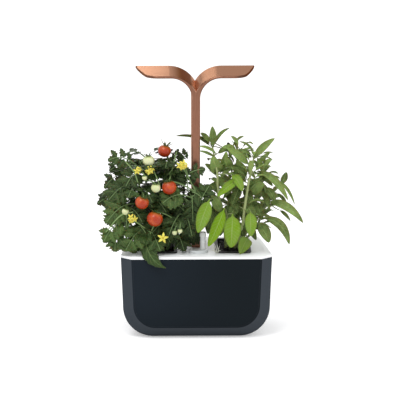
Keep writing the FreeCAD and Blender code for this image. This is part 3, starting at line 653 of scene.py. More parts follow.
def nearest(point, lines):
    """The closest point of any stem to a point."""
    return min((spot for line in lines for spot in line), key=lambda spot: (spot - point).length)


# A stalk's sag and arch as shares of its length, and the gap that is too short for one.
SAG = 0.12
ARCH = 0.25
NO_STALK = 1.0


def stalk(builder, base, joint, radius, tone):
    """Thin stalk from a stem to a leaf: it sags a little, or arches where the leaf is higher."""
    gap = (base - joint).length
    if gap < NO_STALK:
        return
    sag = UP * (-SAG * gap)
    arch = UP * (ARCH * gap * (joint.z < base.z))
    points, _ = bent(joint, (base + joint) / 2 + sag + arch, base, 6)
    tapered(builder, points, radius * 1.25, radius * 0.80, tone)


# The plants' room, and the boxes in it that leaves keep out of: the mast, the gauge and the cap.
PLANT_ROOM = ((-162, -89, 139), (162, 89, 326))
NO_LEAVES = (
    ((-MAST_HALF - 4, MAST_FRONT - 4, 0), (MAST_HALF + 4, MAST_BACK + 4, 400)),
    ((KNOB_LOW.x - 3, -46, 0), (KNOB_HIGH.x + 3, -30, 190)),
    ((-14, -61, 0), (21, -26, 157)),
)
# The box round the mast that no side leaflet ends in.
NEAR_MAST = ((-MAST_HALF - 6, MAST_FRONT - 2, 0), (MAST_HALF + 6, MAST_BACK + 4, 400))
# The egg that each plant fills, the left one mirrored, how far past it leaves may reach, and the gap that
# each plant keeps from the middle, from a little in front of the mast backwards.
CANOPY_MIDDLE = (83, 0, 215)
CANOPY_HALF = (82, 92, 112)
CANOPY_EDGE = 1.05
MIDDLE_GAP = 5
GAP_START = MAST_FRONT - 6


def within(point, low, high):
    """Whether a point is inside a box."""
    return all(least < value < most for least, value, most in zip(low, point, high))


def allowed(point, side):
    """Whether a leaf of the left plant, side -1, or the right one, side 1, may reach a point."""
    x, y, z = point
    crosses = side * x < MIDDLE_GAP and y > GAP_START
    taken = crosses or any(within(point, *box) for box in NO_LEAVES)
    spots = zip((abs(x), y, z), CANOPY_MIDDLE, CANOPY_HALF)
    outer = sum(((value - middle) / half) ** 2 for value, middle, half in spots)
    return within(point, *PLANT_ROOM) and not taken and outer < CANOPY_EDGE


# The sage plant. Each shoot is a root on the growing block and then pixels with a depth.
SAGE_SHOOTS = (
    ((62, -20), ((242, 228, -46), (245, 206, -46), (248, 186, -42), (250.5, 174, -34), (253.5, 159, -22))),
    ((48, -16), ((224, 224, -36), (220, 204, -40), (217.6, 186, -38), (217, 172, -30), (212.5, 147, -8))),
    ((70, 4), ((257, 226, 2), (263, 208, -2), (268, 202, -6))),
    ((64, -24), ((247, 231, -38), (250, 213, -48))),
    ((52, -24), ((230, 232, -42), (226, 211, -52))),
    ((60, 22), ((238, 212, 36), (233, 180, 46), (229, 152, 46))),
    ((70, 26), ((262, 212, 42), (275, 190, 52))),
    ((66, 8), ((252, 208, 6), (258, 184, 4), (262, 172, 0))),
    ((58, 2), ((236, 214, -2), (233, 190, 0), (236, 166, 4), (240, 150, 8))),
)

# Leaves with their own places, those that the photograph shows one by one and ones between them, which a
# low tone paints dark with shade: base and tip (column, row, depth), width, bow, tone.
SAGE_LEAVES = (
    ((213.2, 147.5, -10), (212.3, 126.4, -8), 12.5, (0, -3, 0), 0.22),
    ((213.5, 147, -2), (229.7, 128, 6), 6.0, (-7, 0, 8), 0.30),
    ((210, 143.5, -10), (200.8, 133.0, -4), 9.5, (0, -3, 4), 0.40),
    ((210, 146, 60), (198, 137, 65), 9.0, (0, 0, 4), 0.06),
    ((204, 139.5, 60), (176, 136, 62), 5.5, (0, 0, 5), 0.14),
    ((217, 154, -16), (199.4, 146.3, -42), 6.5, (0, 0, 5), 0.46),
    ((216, 158, -14), (199.4, 151.0, -40), 6.0, (0, 0, 3), 0.40),
    ((229, 152, 30), (227.0, 143, 22), 9.0, (0, 0, 5), 0.04),
    ((217, 154, -8), (232, 148.5, -18), 9.5, (0, -2, 5), 0.30),
    ((250, 166.0, -18), (226.6, 147.8, -40), 13.5, (0, -6, 6), 0.44),
    ((252, 155, -10), (234.5, 153.0, -26), 8.5, (0, 0, 8), 0.20),
    ((252, 157, 0), (244.0, 158.5, -20), 8.0, (0, 0, 4), 0.14),
    ((254, 153.5, -12), (239.3, 141.6, -4), 5.0, (4, 0, 7), 0.24),
    ((253.2, 159, -16), (274.6, 138.4, -22), 12.5, (-4, -2, 4), 0.38),
    ((255, 166, -16), (270, 152.4, -6), 8.0, (0, -3, 2), 0.46),
    ((262, 153.4, -4), (273, 152.4, -12), 3.5, (0, 0, 1), 0.36),
    ((264, 156, -4), (263.8, 164.0, -8), 5.5, (0, 0, 0), 0.12),
    ((217.7, 174.5, -16), (212.6, 156.5, -30), 20.5, (0, -10, 0), 0.46),
    ((219.5, 174, -12), (226.3, 151.5, -20), 13.0, (3, -6, 0), 0.52),
    ((237, 150.5, -8), (222, 147.6, -22), 10.0, (0, -2, 5), 0.46),
    ((232, 171, -12), (224.5, 157, -26), 13.0, (0, -5, 2), 0.44),
    ((246, 180, -14), (231, 167, -32), 13.0, (0, -5, 5), 0.36),
    ((247, 178, -12), (236, 160, -26), 13.0, (0, -5, 4), 0.46),
    ((262, 172, -6), (257, 158, -16), 11.0, (0, -4, 2), 0.34),
    ((217, 176, -10), (205, 164, -16), 11.0, (0, -4, 4), 0.30),
    ((226, 190, -14), (217, 176, -30), 12.0, (0, -4, 4), 0.40),
    ((255, 196, -18), (248, 178, -30), 12.0, (0, -4, 4), 0.46),
    ((247, 171, -10), (226.5, 168, -30), 8.0, (0, 0, 8), 0.16),
    ((248, 174, -14), (226, 175, -40), 5.0, (0, 0, 6), 0.22),
    ((238, 180.5, -40), (217.5, 196.5, -62), 14.5, (2, -8, 9), 0.92),
    ((231.5, 174.5, -34), (242.3, 191, -52), 16.0, (3, -6, 6), 0.82),
    ((257, 171.5, -14), (287.8, 200.0, -40), 12.5, (4, -4, 20), 0.38),
    ((277, 180, -14), (294.6, 204.2, -24), 5.5, (4, 0, 10), 0.34),
    ((280.6, 184.4, -16), (286.3, 172.2, -10), 11.0, (2, -3, 0), 0.10),
    ((265.6, 186.5, -24), (275, 201, -36), 13.0, (2, -5, 2), 0.10),
    ((276, 193, -14), (287.4, 206.5, -22), 6.0, (2, 0, 6), 0.16),
    ((266.2, 202, -20), (303, 222.8, -50), 14.5, (4, -6, 20), 0.36),
    ((279, 210, -14), (290.4, 221, -20), 6.0, (1, 0, 4), 0.26),
    ((262.8, 218.6, -42), (289.2, 244.2, -66), 15.5, (12, -8, 22), 0.20),
    ((257.6, 223.8, -52), (269.0, 242.6, -68), 19.0, (3, -8, 6), 0.20),
    ((250.2, 211.5, -54), (250.8, 236.2, -72), 20.5, (0, -12, 4), 0.80),
    ((232.6, 214.0, -58), (231.0, 247.4, -76), 29.0, (0, -12, 4), 0.86),
    ((224.4, 208.0, -60), (208.3, 246.4, -80), 20.5, (3, -8, 4), 0.99),
    ((209.6, 199.2, -62), (198.0, 232.6, -82), 23.5, (-1, -9, 4), 0.84),
    ((248.0, 238.2, -44), (240.0, 254.0, -62), 22.0, (2, -2, 9), 0.74),
    ((221.4, 212.5, -44), (211.6, 195.4, -50), 17.0, (0, -4, 0), 0.36),
    ((251.6, 196, -26), (264.4, 183.5, -34), 14.5, (-2, -5, 3), 0.38),
    ((246, 190, -20), (262, 178, -30), 12.0, (-2, -5, 3), 0.24),
    ((240, 202, -30), (228, 220, -50), 17.0, (0, -5, 6), 0.16),
    ((243, 202, -34), (256, 220, -50), 17.0, (0, -5, 6), 0.20),
    ((244, 188, -20), (252, 206, -44), 15.0, (0, -6, 6), 0.12),
    ((240, 186, -14), (232, 206, -48), 16.0, (0, -6, 6), 0.08),
    ((221, 186, -14), (207, 190, -48), 12.0, (0, -5, 8), 0.16),
    ((226, 192, -20), (238, 212, -46), 16.0, (0, -5, 8), 0.12),
    ((256, 202, -30), (262, 220, -46), 14.0, (0, -5, 6), 0.12),
    ((238, 222, -40), (244, 238, -48), 13.0, (0, -4, 4), 0.06),
    ((246, 222, -40), (256, 240, -50), 13.0, (0, -4, 4), 0.10),
    ((224, 218, -44), (220, 236, -52), 13.0, (0, -4, 4), 0.04),
    ((262, 190, -16), (270, 210, -30), 9.0, (0, -3, 4), 0.22),
    ((258, 176, -10), (272, 186, -24), 9.0, (0, -3, 8), 0.14),
    ((214, 204, -40), (211, 230, -52), 16.0, (0, -4, 4), 0.06),
    ((208, 206, -40), (208, 234, -50), 15.0, (0, -4, 4), 0.02),
    ((219, 210, -40), (214, 242, -54), 16.0, (0, -4, 4), 0.10),
    ((236, 206, -36), (233, 236, -50), 17.0, (0, -4, 4), 0.04),
    ((228, 204, -36), (222, 230, -50), 17.0, (0, -4, 4), 0.08),
    ((246, 208, -36), (246, 232, -48), 16.0, (0, -4, 4), 0.06),
    ((232, 226, -44), (226, 246, -54), 13.0, (0, -4, 4), 0.02),
)


ROOT_DEPTH = 4.0


def shoot_lines(shoots):
    """Stem lines from the growing block through their pixels."""
    lines = []
    for (x, y), stops in shoots:
        root = Vector((x, y, SOIL_TOP - ROOT_DEPTH))
        lines.append(smooth_line([root] + [seen(*stop) for stop in stops]))
    return lines


def grow_stems(builder, lines, thick, thin, fronts=0):
    """A tapering tube along each line; the first few, which show in front, are thicker and paler."""
    for index, line in enumerate(lines):
        more, tone = (1.25, 1.0) if index < fronts else (1.0, 0.45)
        tapered(builder, line, more * thick, more * thin, tone, 9)


# The range of the leaves that fill the sage plant: length, stalk and droop in millimetres, width as a
# share of the length, tone. Further forward than the front, as far right as its end, there are none,
# because the leaves seen there have their own places.
SAGE_LENGTHS = (32, 46)
SAGE_STALKS = (4, 7)
SAGE_DROOPS = (2, 16)
SAGE_WIDTHS = (0.28, 0.38)
SAGE_TONES = (0.04, 0.30)
SAGE_FRONT = -44
SAGE_FRONT_END = 86


def fill_sage(leaves, stalks, lines, rng):
    """Opposite pairs of leaves up each shoot, turned a quarter at each joint, smaller near the top."""
    for line in lines:
        last = len(line) - 1
        turn = rng.uniform(0, math.pi)
        for index in range(4, last + 1, 2):
            way = (line[min(index + 1, last)] - line[index - 1]).normalized()
            side = way.cross(Vector((math.cos(turn), math.sin(turn), 0.2))).normalized()
            turn += math.pi / 2
            size = rng.uniform(*SAGE_LENGTHS) * (1 - 0.25 * index / last)
            for sign in (-1, 1):
                out = (side * sign + way * rng.uniform(0.3, 0.9) + UP * 0.25).normalized()
                base = line[index] + out * rng.uniform(*SAGE_STALKS)
                tip = base + out * size - UP * rng.uniform(*SAGE_DROOPS)
                middle = base + out * size * 0.55 + UP * 5
                plant = 1.0 if line[index].x > 0 else -1.0
                in_front = min(base.y, tip.y) < SAGE_FRONT and tip.x < SAGE_FRONT_END
                if in_front or not all(allowed(spot, plant) for spot in (base, middle, tip)):
                    continue
                facing = (UP + way * 0.7 + Vector((0, -0.25, 0))).normalized()
                # Painted light: leaves higher on the plant get a lighter tone, and lower ones stay darker
                # as if shaded.
                height = min(1.0, max(0.0, (base.z - 190) / 90))
                blade(leaves, SAGE_FILL, base, tip, size * rng.uniform(*SAGE_WIDTHS), facing, middle,
                      rng.uniform(*SAGE_TONES) + 0.22 * height, rng.uniform(*SEEDS))
                stalk(stalks, base, line[index], 0.8, 0.5)


# Sage leaves that hang down by more than this, or are broader than this, look straight ahead.
HANGS = 8
BROAD = 11


def sage_plant(materials):
    """Stems, the leaves seen one by one, then the leaves that fill the plant from every side."""
    rng = random.Random(11)
    lines = shoot_lines(SAGE_SHOOTS)
    stalks, front, inner = Builder(), Builder(), Builder()
    grow_stems(stalks, lines, 2.2, 1.1, 2)
    for index, (root, end, width, bow, tone) in enumerate(SAGE_LEAVES):
        base, tip = seen(*root), seen(*end)
        middle = (base + tip) / 2 + Vector(bow)
        upright = tip.z >= base.z - HANGS and width <= BROAD
        facing = Vector((0.25, -0.8, 0.6)) if upright else Vector((0.1, -1.0, 0.35))
        blade(front, SAGE_LEAF, base, tip, width, facing.normalized(), middle, tone, 3.7 * index)
        stalk(stalks, base, nearest(base, lines), 0.8, 0.6)
    fill_sage(inner, stalks, lines, rng)
    front.piece("sage_leaves", materials["sage"], "pod_right", "sage_leaf",
                "sage_foliage", "sage_front_shoots")
    inner.piece("sage_inner_leaves", materials["sage"], "pod_right", "sage_leaf")
    stalks.piece("sage_stalks", materials["sage_stalk"], "pod_right", "sage_stem", "sage_stems")


# The tomato plant.
TOMATO_SHOOTS = (
    ((-54, 0), ((168, 214, -6), (171, 186, -8), (168, 160, -10))),
    ((-64, -8), ((150, 222, -16), (141, 196, -18), (138, 168, -16))),
    ((-60, 12), ((146, 220, 10), (132, 200, 14), (130, 184, 14))),
    ((-48, 8), ((178, 216, 2), (184, 190, -4), (180, 160, -4))),
    ((-66, -24), ((143, 238, -42), (126, 230, -54))),
    ((-46, -26), ((176, 230, -44), (188, 213, -50), (196, 192, -46))),
    ((-58, 28), ((152, 215, 42), (146, 185, 56), (150, 160, 58))),
    ((-48, 26), ((174, 216, 40), (180, 190, 50))),
    ((-68, 26), ((130, 216, 44), (112, 204, 56))),
)

# Compound leaves with their own places, as the photograph shows them or to close the gaps between them:
# base and tip (column, row, depth), leaf width, bow, tone.
TOMATO_LEAVES = (
    ((137, 166, -14), (109.0, 160.0, -22), 29, (0, 0, 17), 0.34),
    ((127, 166, 0), (110.6, 170.5, -8), 27, (0, 0, 10), 0.14),
    ((128, 168, 0), (121.5, 179.5, -8), 16, (0, 0, 4), 0.12),
    ((132, 178, 4), (104.8, 187.2, 8), 30, (0, 0, 24), 0.16),
    ((132, 184, -22), (109, 200, -40), 42, (0, -4, 14), 0.28),
    ((126, 198, 4), (98.0, 203.2, 4), 30, (0, 0, 14), 0.14),
    ((126, 202, -10), (106, 211.5, -16), 26, (0, 0, 12), 0.20),
    ((134, 204, -34), (107, 222, -58), 46, (0, -4, 18), 0.58),
    ((128, 221, -50), (104, 241, -64), 40, (-4, -4, 18), 0.62),
    ((122, 230, -52), (115, 250.5, -70), 36, (-6, -4, 10), 0.46),
    ((144, 228, -52), (126, 250, -72), 42, (0, -8, 14), 0.56),
    ((146, 226, -50), (160, 250, -74), 40, (0, -6, 14), 0.46),
    ((186, 196, -52), (163, 203, -68), 40, (0, -6, 14), 0.52),
    ((180, 214, -50), (168, 238, -72), 38, (0, -6, 12), 0.20),
    ((184, 210, -50), (192, 236, -62), 36, (0, -4, 12), 0.12),
    ((197, 208, -48), (209, 186, -50), 34, (0, -4, 4), 0.26),
    ((192, 192, -46), (208, 206, -50), 34, (0, -4, 10), 0.30),
    ((192, 196, -48), (193, 222, -58), 34, (0, -6, 8), 0.12),
    ((186, 175, -38), (204, 169, -44), 26, (0, -4, 5), 0.18),
    ((188, 190, -44), (186, 168, -40), 30, (0, -4, 0), 0.10),
    ((180, 167, -6), (187, 154, -22), 25, (0, 0, 6), 0.08),
    ((178, 167, -4), (173, 155, -14), 24, (0, 0, 6), 0.10),
    ((170, 174, -8), (158, 165, -20), 26, (0, 0, 6), 0.16),
    ((146, 176, -12), (140, 163, -22), 26, (0, 0, 6), 0.16),
    ((160, 178, -6), (168, 164, -12), 24, (0, 0, 6), 0.10),
    ((168, 166, -10), (176, 182, -40), 34, (0, -4, 12), 0.14),
    ((174, 172, -20), (184, 183, -44), 30, (0, -4, 10), 0.16),
    ((140, 172, -18), (126, 186, -50), 36, (0, -6, 14), 0.14),
    ((150, 200, -20), (166, 212, -58), 38, (0, -6, 16), 0.14),
    ((140, 188, -18), (152, 202, -54), 36, (0, -6, 14), 0.18),
    ((160, 168, -10), (146, 178, -44), 32, (0, -4, 10), 0.20),
    ((160, 188, -12), (176, 204, -56), 38, (0, -6, 14), 0.12),
    ((164, 212, -18), (178, 226, -62), 38, (0, -6, 14), 0.12),
    ((152, 220, -26), (170, 242, -64), 38, (0, -6, 14), 0.20),
    ((138, 220, -34), (150, 238, -68), 40, (0, -6, 14), 0.40),
    ((128, 208, -30), (142, 222, -60), 36, (0, -6, 14), 0.30),
    ((172, 196, -20), (186, 214, -50), 36, (0, -6, 14), 0.10),
    ((174, 226, -40), (184, 250, -52), 34, (0, -4, 8), 0.08),
    ((160, 232, -40), (156, 250, -62), 34, (0, -4, 8), 0.16),
    ((134, 236, -44), (134, 252, -62), 32, (0, -4, 8), 0.30),
)

# The leaf that hangs over the tray's lip: its foot, the pull on its middle, its tip.
DRAPED = ((144.5, 236, -58), (147.5, 262, -92), (166, 268, -84))

# Pale twigs that catch the light in front of the leaves: three stops and a thickness.
TWIGS = (
    ((139, 186, -46), (134, 172, -44), (125, 161, -34), 1.2),
    ((168, 186, -50), (172, 170, -40), (176.5, 152, -24), 1.2),
    ((160, 186, -56), (156, 176, -50), (151, 165, -44), 1.0),
    ((133, 212, -62), (120, 216, -68), (106, 232, -66), 1.2),
    ((150, 232, -66), (136, 222, -74), (128, 219, -74), 1.0),
    ((150, 234, -66), (155, 224, -70), (163, 215, -72), 1.0),
)

# Single leaflets that hang between the mast and the fill cap: base, tip, width, tone.
CURTAIN = (
    ((184, 204, -31), (191, 226, -29), 19, 0.10),
    ((190, 200, -30), (197, 224, -29), 19, 0.14),
    ((193, 188, -31), (190, 210, -29), 19, 0.08),
    ((197, 204, -30), (193, 232, -29), 18, 0.06),
    ((188, 218, -30), (192, 244, -29), 17, 0.12),
    ((194, 222, -29), (197, 244.8, -28), 13, 0.08),
    ((184, 224, -31), (186, 250, -31), 17, 0.06),
    ((190, 228, -29), (189, 247, -28), 15, 0.04),
    ((190, 232, -30), (195, 245.2, -28), 14, 0.10),
    ((196, 228, -30), (193, 245.2, -28), 14, 0.05),
    ((199, 222, -29), (198.6, 245.0, -27.5), 12, 0.06),
    ((182, 230, -34), (183, 251, -36), 17, 0.10),
)


# A compound leaf's rib is divided into steps. Pairs of leaflets stand at some, each with its length as a
# share of the leaf's width, and pairs of small ones at others. Wide leaves are cut more finely.
RIB_STEPS = 16
LEAFLETS = ((4, 0.52), (7, 0.58), (11, 0.50))
SMALL_LEAFLETS = (5, 9)
END_LEAFLET = 11
WIDE = 36


def compound_leaf(leaves, stalks, base, tip, width, bow, tone, facing, rng):
    """A stalk with an end leaflet, side leaflets in pairs, and small ones between them."""
    points, ways = bent(base, bow, tip, RIB_STEPS)
    tapered(stalks, points, 1.1, 0.5, 0.6)
    kind = TOMATO_LEAF if width > WIDE else TOMATO_FILL
    blade(leaves, kind, points[END_LEAFLET], tip + ways[-1] * 2, width * 0.66, facing,
          None, tone, rng.uniform(*SEEDS))
    for stop, size in LEAFLETS:
        for sign in (-1, 1):
            side = ways[stop].cross(facing).normalized() * sign
            out = (side + ways[stop] * 0.55 - UP * rng.uniform(0.05, 0.4)).normalized()
            reach = width * size * rng.uniform(0.85, 1.15)
            start = points[stop] + out * 1.5
            end = start + out * reach
            shade, seed = tone + rng.uniform(-0.06, 0.08), rng.uniform(*SEEDS)
            if within(end, *NEAR_MAST):
                continue
            middle = start + out * reach * 0.5 + facing * 1.6
            blade(leaves, kind, start, end, reach * 0.74, facing, middle, shade, seed)
    for stop in SMALL_LEAFLETS:
        for sign in (-1, 1):
            side = ways[stop].cross(facing).normalized() * sign
            out = (side + ways[stop] * 0.3).normalized()
            start = points[stop] + out * 0.8
            blade(leaves, SEPAL, start, start + out * width * 0.17, width * 0.10, facing,
                  None, tone, rng.uniform(*SEEDS))


# The range of the leaves that fill the tomato plant: length, droop and width in millimetres, tone. Each is
# tried at several angles round its stem until one fits.
TOMATO_LENGTHS = (40, 60)
TOMATO_DROOPS = (4, 20)
TOMATO_WIDTHS = (28, 36)
TOMATO_TONES = (0.02, 0.26)
GOLDEN_ANGLE = math.radians(137.5)
TRIES = 6
TRY_ANGLE = 1.1


def fill_tomato(leaves, stalks, lines, rng):
    """Compound leaves all round each shoot, a golden angle apart."""
    turn = 0.0
    for line in lines:
        last = len(line) - 1
        for index in range(3, last + 1):
            turn += GOLDEN_ANGLE
            for attempt in range(TRIES):
                angle = turn + attempt * TRY_ANGLE
                out = Vector((math.cos(angle), math.sin(angle), rng.uniform(-0.1, 0.6))).normalized()
                reach = rng.uniform(*TOMATO_LENGTHS) * (1 - 0.2 * index / last)
                base = line[index] + out * 8
                tip = base + out * reach - UP * rng.uniform(*TOMATO_DROOPS)
                bow = base + out * reach * 0.5 + UP * 9
                spots = (base, bow, tip + out * 5, tip + Vector((9, 0, -4)), tip + Vector((-9, 0, -4)))
                if all(allowed(spot, -1.0) for spot in spots):
                    facing = (UP + out * 0.35).normalized()
                    compound_leaf(leaves, stalks, base, tip, rng.uniform(*TOMATO_WIDTHS), bow,
                                  rng.uniform(*TOMATO_TONES), facing, rng)
                    stalk(stalks, base, line[index], 1.2, 0.5)
                    break


# Fruit: column, row, depth, radius in millimetres, and how far the sepals are lifted.
RIPE = (
    (164.5, 150.9, -12, 10.6, 1.1),
    (169.2, 187.4, -62, 11.6, 0.5),
    (142.0, 202.6, -68, 11.0, 0.5),
    (154.9, 218.9, -74, 12.7, 0.3),
)
UNRIPE = (
    (148.6, 160.8, -40, 9.4, 0.8),
    (155.8, 188.0, -68, 7.5, 0.3),
    (125.4, 211.7, -66, 5.6, 0.6),
    (144.6, 178.0, -60, 4.0, 0.6),
    (174.6, 232.8, -76, 4.0, 0.4),
    (180.0, 231.0, -74, 4.0, 0.4),
)

FRUIT_GUIDE = Vector((0.2, 1.0, 0.1))
SEPALS = 6
PETALS = 5


def round_fruit(builder, centre, radius, axis, squash=0.94):
    """Fruit with a dimple under its stalk; tone runs from 1 at the crown to 0 at the lower end."""
    rings, sides = 22, 32
    deepest = 0.16
    across = square_to(axis, FRUIT_GUIDE)
    rows = []
    top = builder.add(centre + axis * radius * (squash - deepest), (0, 0), (1.0, 0.0))
    for i in range(1, rings):
        polar = math.pi * i / rings
        share = math.cos(polar)
        dimple = deepest * math.exp(-((polar / 0.34) ** 2))
        middle = centre + axis * (radius * (squash * share - dimple))
        row = []
        for k in range(sides):
            turn = math.tau * k / sides
            lobe = 1 + 0.012 * math.cos(5 * turn) * math.sin(polar)
            spot = middle + spoke(across, turn) * (radius * lobe * math.sin(polar))
            row.append(builder.add(spot, (k / sides, i / rings), (0.5 + 0.5 * share, 0.0)))
        rows.append(row)
    bottom = builder.add(centre - axis * radius * squash, (0, 1), (0.0, 0.0))
    builder.ball(rows, top, bottom)


def calyx(builder, centre, radius, axis, lifted, seed):
    """Star of narrow sepals on a fruit's crown, lifted by a share of their length."""
    rng = random.Random(seed)
    across = square_to(axis, FRUIT_GUIDE)
    crown = centre + axis * radius * 0.80
    for k in range(SEPALS):
        out = spoke(across, math.tau * k / SEPALS + rng.uniform(-0.2, 0.2))
        lift = lifted * rng.uniform(0.4, 1.2)
        reach = radius * rng.uniform(0.75, 1.0)
        base = crown + out * radius * 0.06
        tip = crown + out * reach + axis * reach * lift
        bow = crown + out * reach * 0.55 + axis * radius * 0.12
        blade(builder, SEPAL, base, tip, radius * 0.26, axis, bow, 0.4, seed + k)


def fruit_set(places, name, material, slot, node, greens, stalks, lines, seed):
    """Fruit of one ripeness, each with its sepals and its own stalk."""
    builder = Builder()
    for index, (column, row, depth, radius, lifted) in enumerate(places):
        rng = random.Random(seed + index)
        centre = seen(column, row, depth)
        axis = Vector((rng.uniform(-0.3, 0.3), rng.uniform(-0.25, 0.05), 1.0)).normalized()
        round_fruit(builder, centre, radius, axis)
        calyx(greens, centre, radius, axis, lifted, seed + index)
        crown = centre + axis * radius * 0.78
        joint = nearest(crown, lines)
        points, _ = bent(crown, crown + axis * 9 + (joint - crown) * 0.3, joint, 10)
        tapered(stalks, points, 0.9, 1.1, 0.65)
    builder.piece(name, material, "pod_left", slot, node)


# Blossoms: column, row, depth, which way they look, and size in millimetres.
BLOSSOMS = (
    (137.0, 171.0, -52, (-0.3, -1.0, 0.1), 7.0),
    (139.6, 169.0, -50, (0.4, -0.8, 0.5), 6.0),
    (149.6, 170.6, -56, (0.2, -1.0, 0.2), 8.0),
    (152.2, 168.6, -54, (0.6, -0.7, 0.4), 6.5),
    (147.6, 172.2, -55, (-0.6, -0.8, -0.2), 6.0),
    (180.0, 165.6, -60, (-0.3, -1.0, 0.2), 7.5),
    (183.4, 163.6, -60, (0.3, -0.9, 0.4), 7.5),
    (182.2, 167.4, -62, (0.1, -1.0, -0.4), 7.0),
    (186.0, 165.8, -58, (0.8, -0.7, 0.1), 6.0),
    (131.0, 217.4, -74, (-0.2, -1.0, 0.3), 7.0),
    (134.6, 219.2, -76, (0.4, -1.0, -0.1), 7.0),
    (130.6, 221.2, -74, (-0.5, -0.8, -0.4), 6.0),
    (162.8, 237.9, -84, (0.05, -1.0, 0.15), 9.6),
)


def blossom(petals, greens, stalks, place, look, size, lines, seed):
    """Pointed petals swept back round a cone of stamens, with a small green cup behind."""
    look = Vector(look).normalized()
    across = square_to(look, Vector((0.1, 0.2, 1.0)))
    turned = random.Random(seed).uniform(0, 1.2)
    for k in range(PETALS):
        turn = math.tau * k / PETALS + turned
        out = spoke(across, turn)
        base = place + out * size * 0.08
        tip = place + out * size * 0.98 - look * size * 0.22
        bow = place + out * size * 0.5 + look * size * 0.14
        blade(petals, PETAL, base, tip, size * 0.42, look, bow, 0.0, seed + k)
        base = place - look * size * 0.12
        tip = place + spoke(across, turn + 0.63) * size * 0.7 - look * size * 0.3
        blade(greens, SEPAL, base, tip, size * 0.16, look, None, 0.5, seed + k)
    cone = [place - look * size * 0.05, place + look * size * 0.22, place + look * size * 0.46]
    tube(petals, cone, [size * 0.14, size * 0.13, size * 0.04], (0.75, 0.0), 8)
    joint = nearest(place, lines)
    back = place - look * size * 0.15
    points, _ = bent(back, back - look * size + (joint - back) * 0.3, joint, 8)
    tapered(stalks, points, 0.7, 0.9, 0.7)


def tomato_plant(materials):
    """Stems, the leaves, twigs, fruit and blossoms that are seen, and the leaves that fill the plant."""
    rng = random.Random(5)
    lines = shoot_lines(TOMATO_SHOOTS)
    stalks, greens, petals, front, inner = Builder(), Builder(), Builder(), Builder(), Builder()
    grow_stems(stalks, lines, 2.7, 1.3)
    for root, end, width, bow, tone in TOMATO_LEAVES:
        base, tip = seen(*root), seen(*end)
        middle = (base + tip) / 2 + Vector(bow)
        facing = Vector((0.0, -0.75, 0.65)).normalized()
        compound_leaf(front, stalks, base, tip, width, middle, tone, facing, rng)
        stalk(stalks, base, nearest(base, lines), 1.2, 0.5)
    for index, (root, end, width, tone) in enumerate(CURTAIN):
        base, tip = seen(*root), seen(*end)
        blade(front, TOMATO_LEAF, base, tip, width, Vector((0.1, -1.0, 0.2)), None, tone, 5.3 * index)
        stalk(stalks, base, nearest(base, lines), 0.8, 0.4)
    for *stops, thick in TWIGS:
        tapered(stalks, smooth_line([seen(*stop) for stop in stops]), thick, 0.6 * thick, 1.0, 7)
    base, bow, tip = (seen(*place) for place in DRAPED)
    facing = Vector((-0.1, -1.0, 0.35)).normalized()
    blade(front, DRAPED_LEAF, base, tip, 25.0, facing, bow, 0.34, 2.0)
    fill_tomato(inner, stalks, lines, rng)
    fruit_set(RIPE, "tomato_ripe", materials["ripe"], "ripe", "tomato_red_fruit",
              greens, stalks, lines, 20)
    fruit_set(UNRIPE, "tomato_unripe", materials["unripe"], "unripe", "tomato_green_fruit",
              greens, stalks, lines, 60)
    for index, (column, row, depth, look, size) in enumerate(BLOSSOMS):
        blossom(petals, greens, stalks, seen(column, row, depth), look, size, lines, 7 * index)
    front.piece("tomato_leaves", materials["tomato"], "pod_left", "tomato_leaf",
                "tomato_foliage", "tomato_front_shoots", "tomato_lip_shoot")
    inner.piece("tomato_inner_leaves", materials["tomato"], "pod_left", "tomato_leaf")
    greens.piece("tomato_sepals", materials["tomato"], "pod_left", "tomato_leaf")
    petals.piece("tomato_petals", materials["petal"], "pod_left", "blossom", "tomato_flowers")
    stalks.piece("tomato_stalks", materials["tomato_stalk"], "pod_left", "tomato_stem", "tomato_stems")


# The growing blocks.

def growing_block(side, material):
    """Lumpy peat inside a pod, with loose crumbs on top."""
    node = "soil_" + side
    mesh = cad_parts[node].data.copy()
    mesh.materials.clear()
    mesh.materials.append(material)
    made = add_object("peat_" + side, mesh)
    remesh = made.modifiers.new("remesh", "REMESH")
    remesh.mode = "VOXEL"
    remesh.voxel_size = 0.0016
    clouds = bpy.data.textures.new("lumps_" + side, "CLOUDS")
    clouds.noise_scale = 0.006
    clouds.noise_depth = 3
    lumps = made.modifiers.new("lumps", "DISPLACE")
    lumps.texture = clouds
    lumps.texture_coords = "LOCAL"
    lumps.mid_level = 0.95
    lumps.strength = 0.005
    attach(made, "pod_" + side)
    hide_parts(node)
    low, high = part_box(node)
    crumbs(side, low / MM, high / MM, material)


def crumbs(side, low, high, material):
    """Loose crumbs of peat on a growing block, which is highest along its middle."""
    rng = random.Random(side)
    builder = Builder()
    crumb_count, crown_radius, sunk = 150, 320.0, 1.6
    for _ in range(crumb_count):
        x = rng.uniform(low.x + 5, high.x - 5)
        y = rng.uniform(low.y + 6, high.y - 6)
        off = y - (low.y + high.y) / 2
        z = high.z - off * off / crown_radius - sunk
        radius = rng.uniform(0.8, 2.3)
        round_crumb(builder, Vector((x, y, z)), radius, rng.uniform(0, 50))
    builder.piece("crumbs_" + side, material, "pod_" + side, "soil")


def round_crumb(builder, centre, radius, seed):
    """One uneven crumb."""
    rows = []
    sides = 7
    top = builder.add(centre + UP * radius)
    for i in (1, 2, 3):
        polar = math.pi * i / 4
        row = []
        for k in range(sides):
            turn = math.tau * (k + 0.5 * i) / sides
            level = Vector((math.cos(turn), math.sin(turn), 0.0))
            way = level * math.sin(polar) + UP * math.cos(polar)
            size = radius * (1 + 0.5 * noise.noise(way * 1.7 + Vector((seed, 0, 0))))
            row.append(builder.add(centre + way * size))
        rows.append(row)
    bottom = builder.add(centre - UP * radius)
    builder.ball(rows, top, bottom)


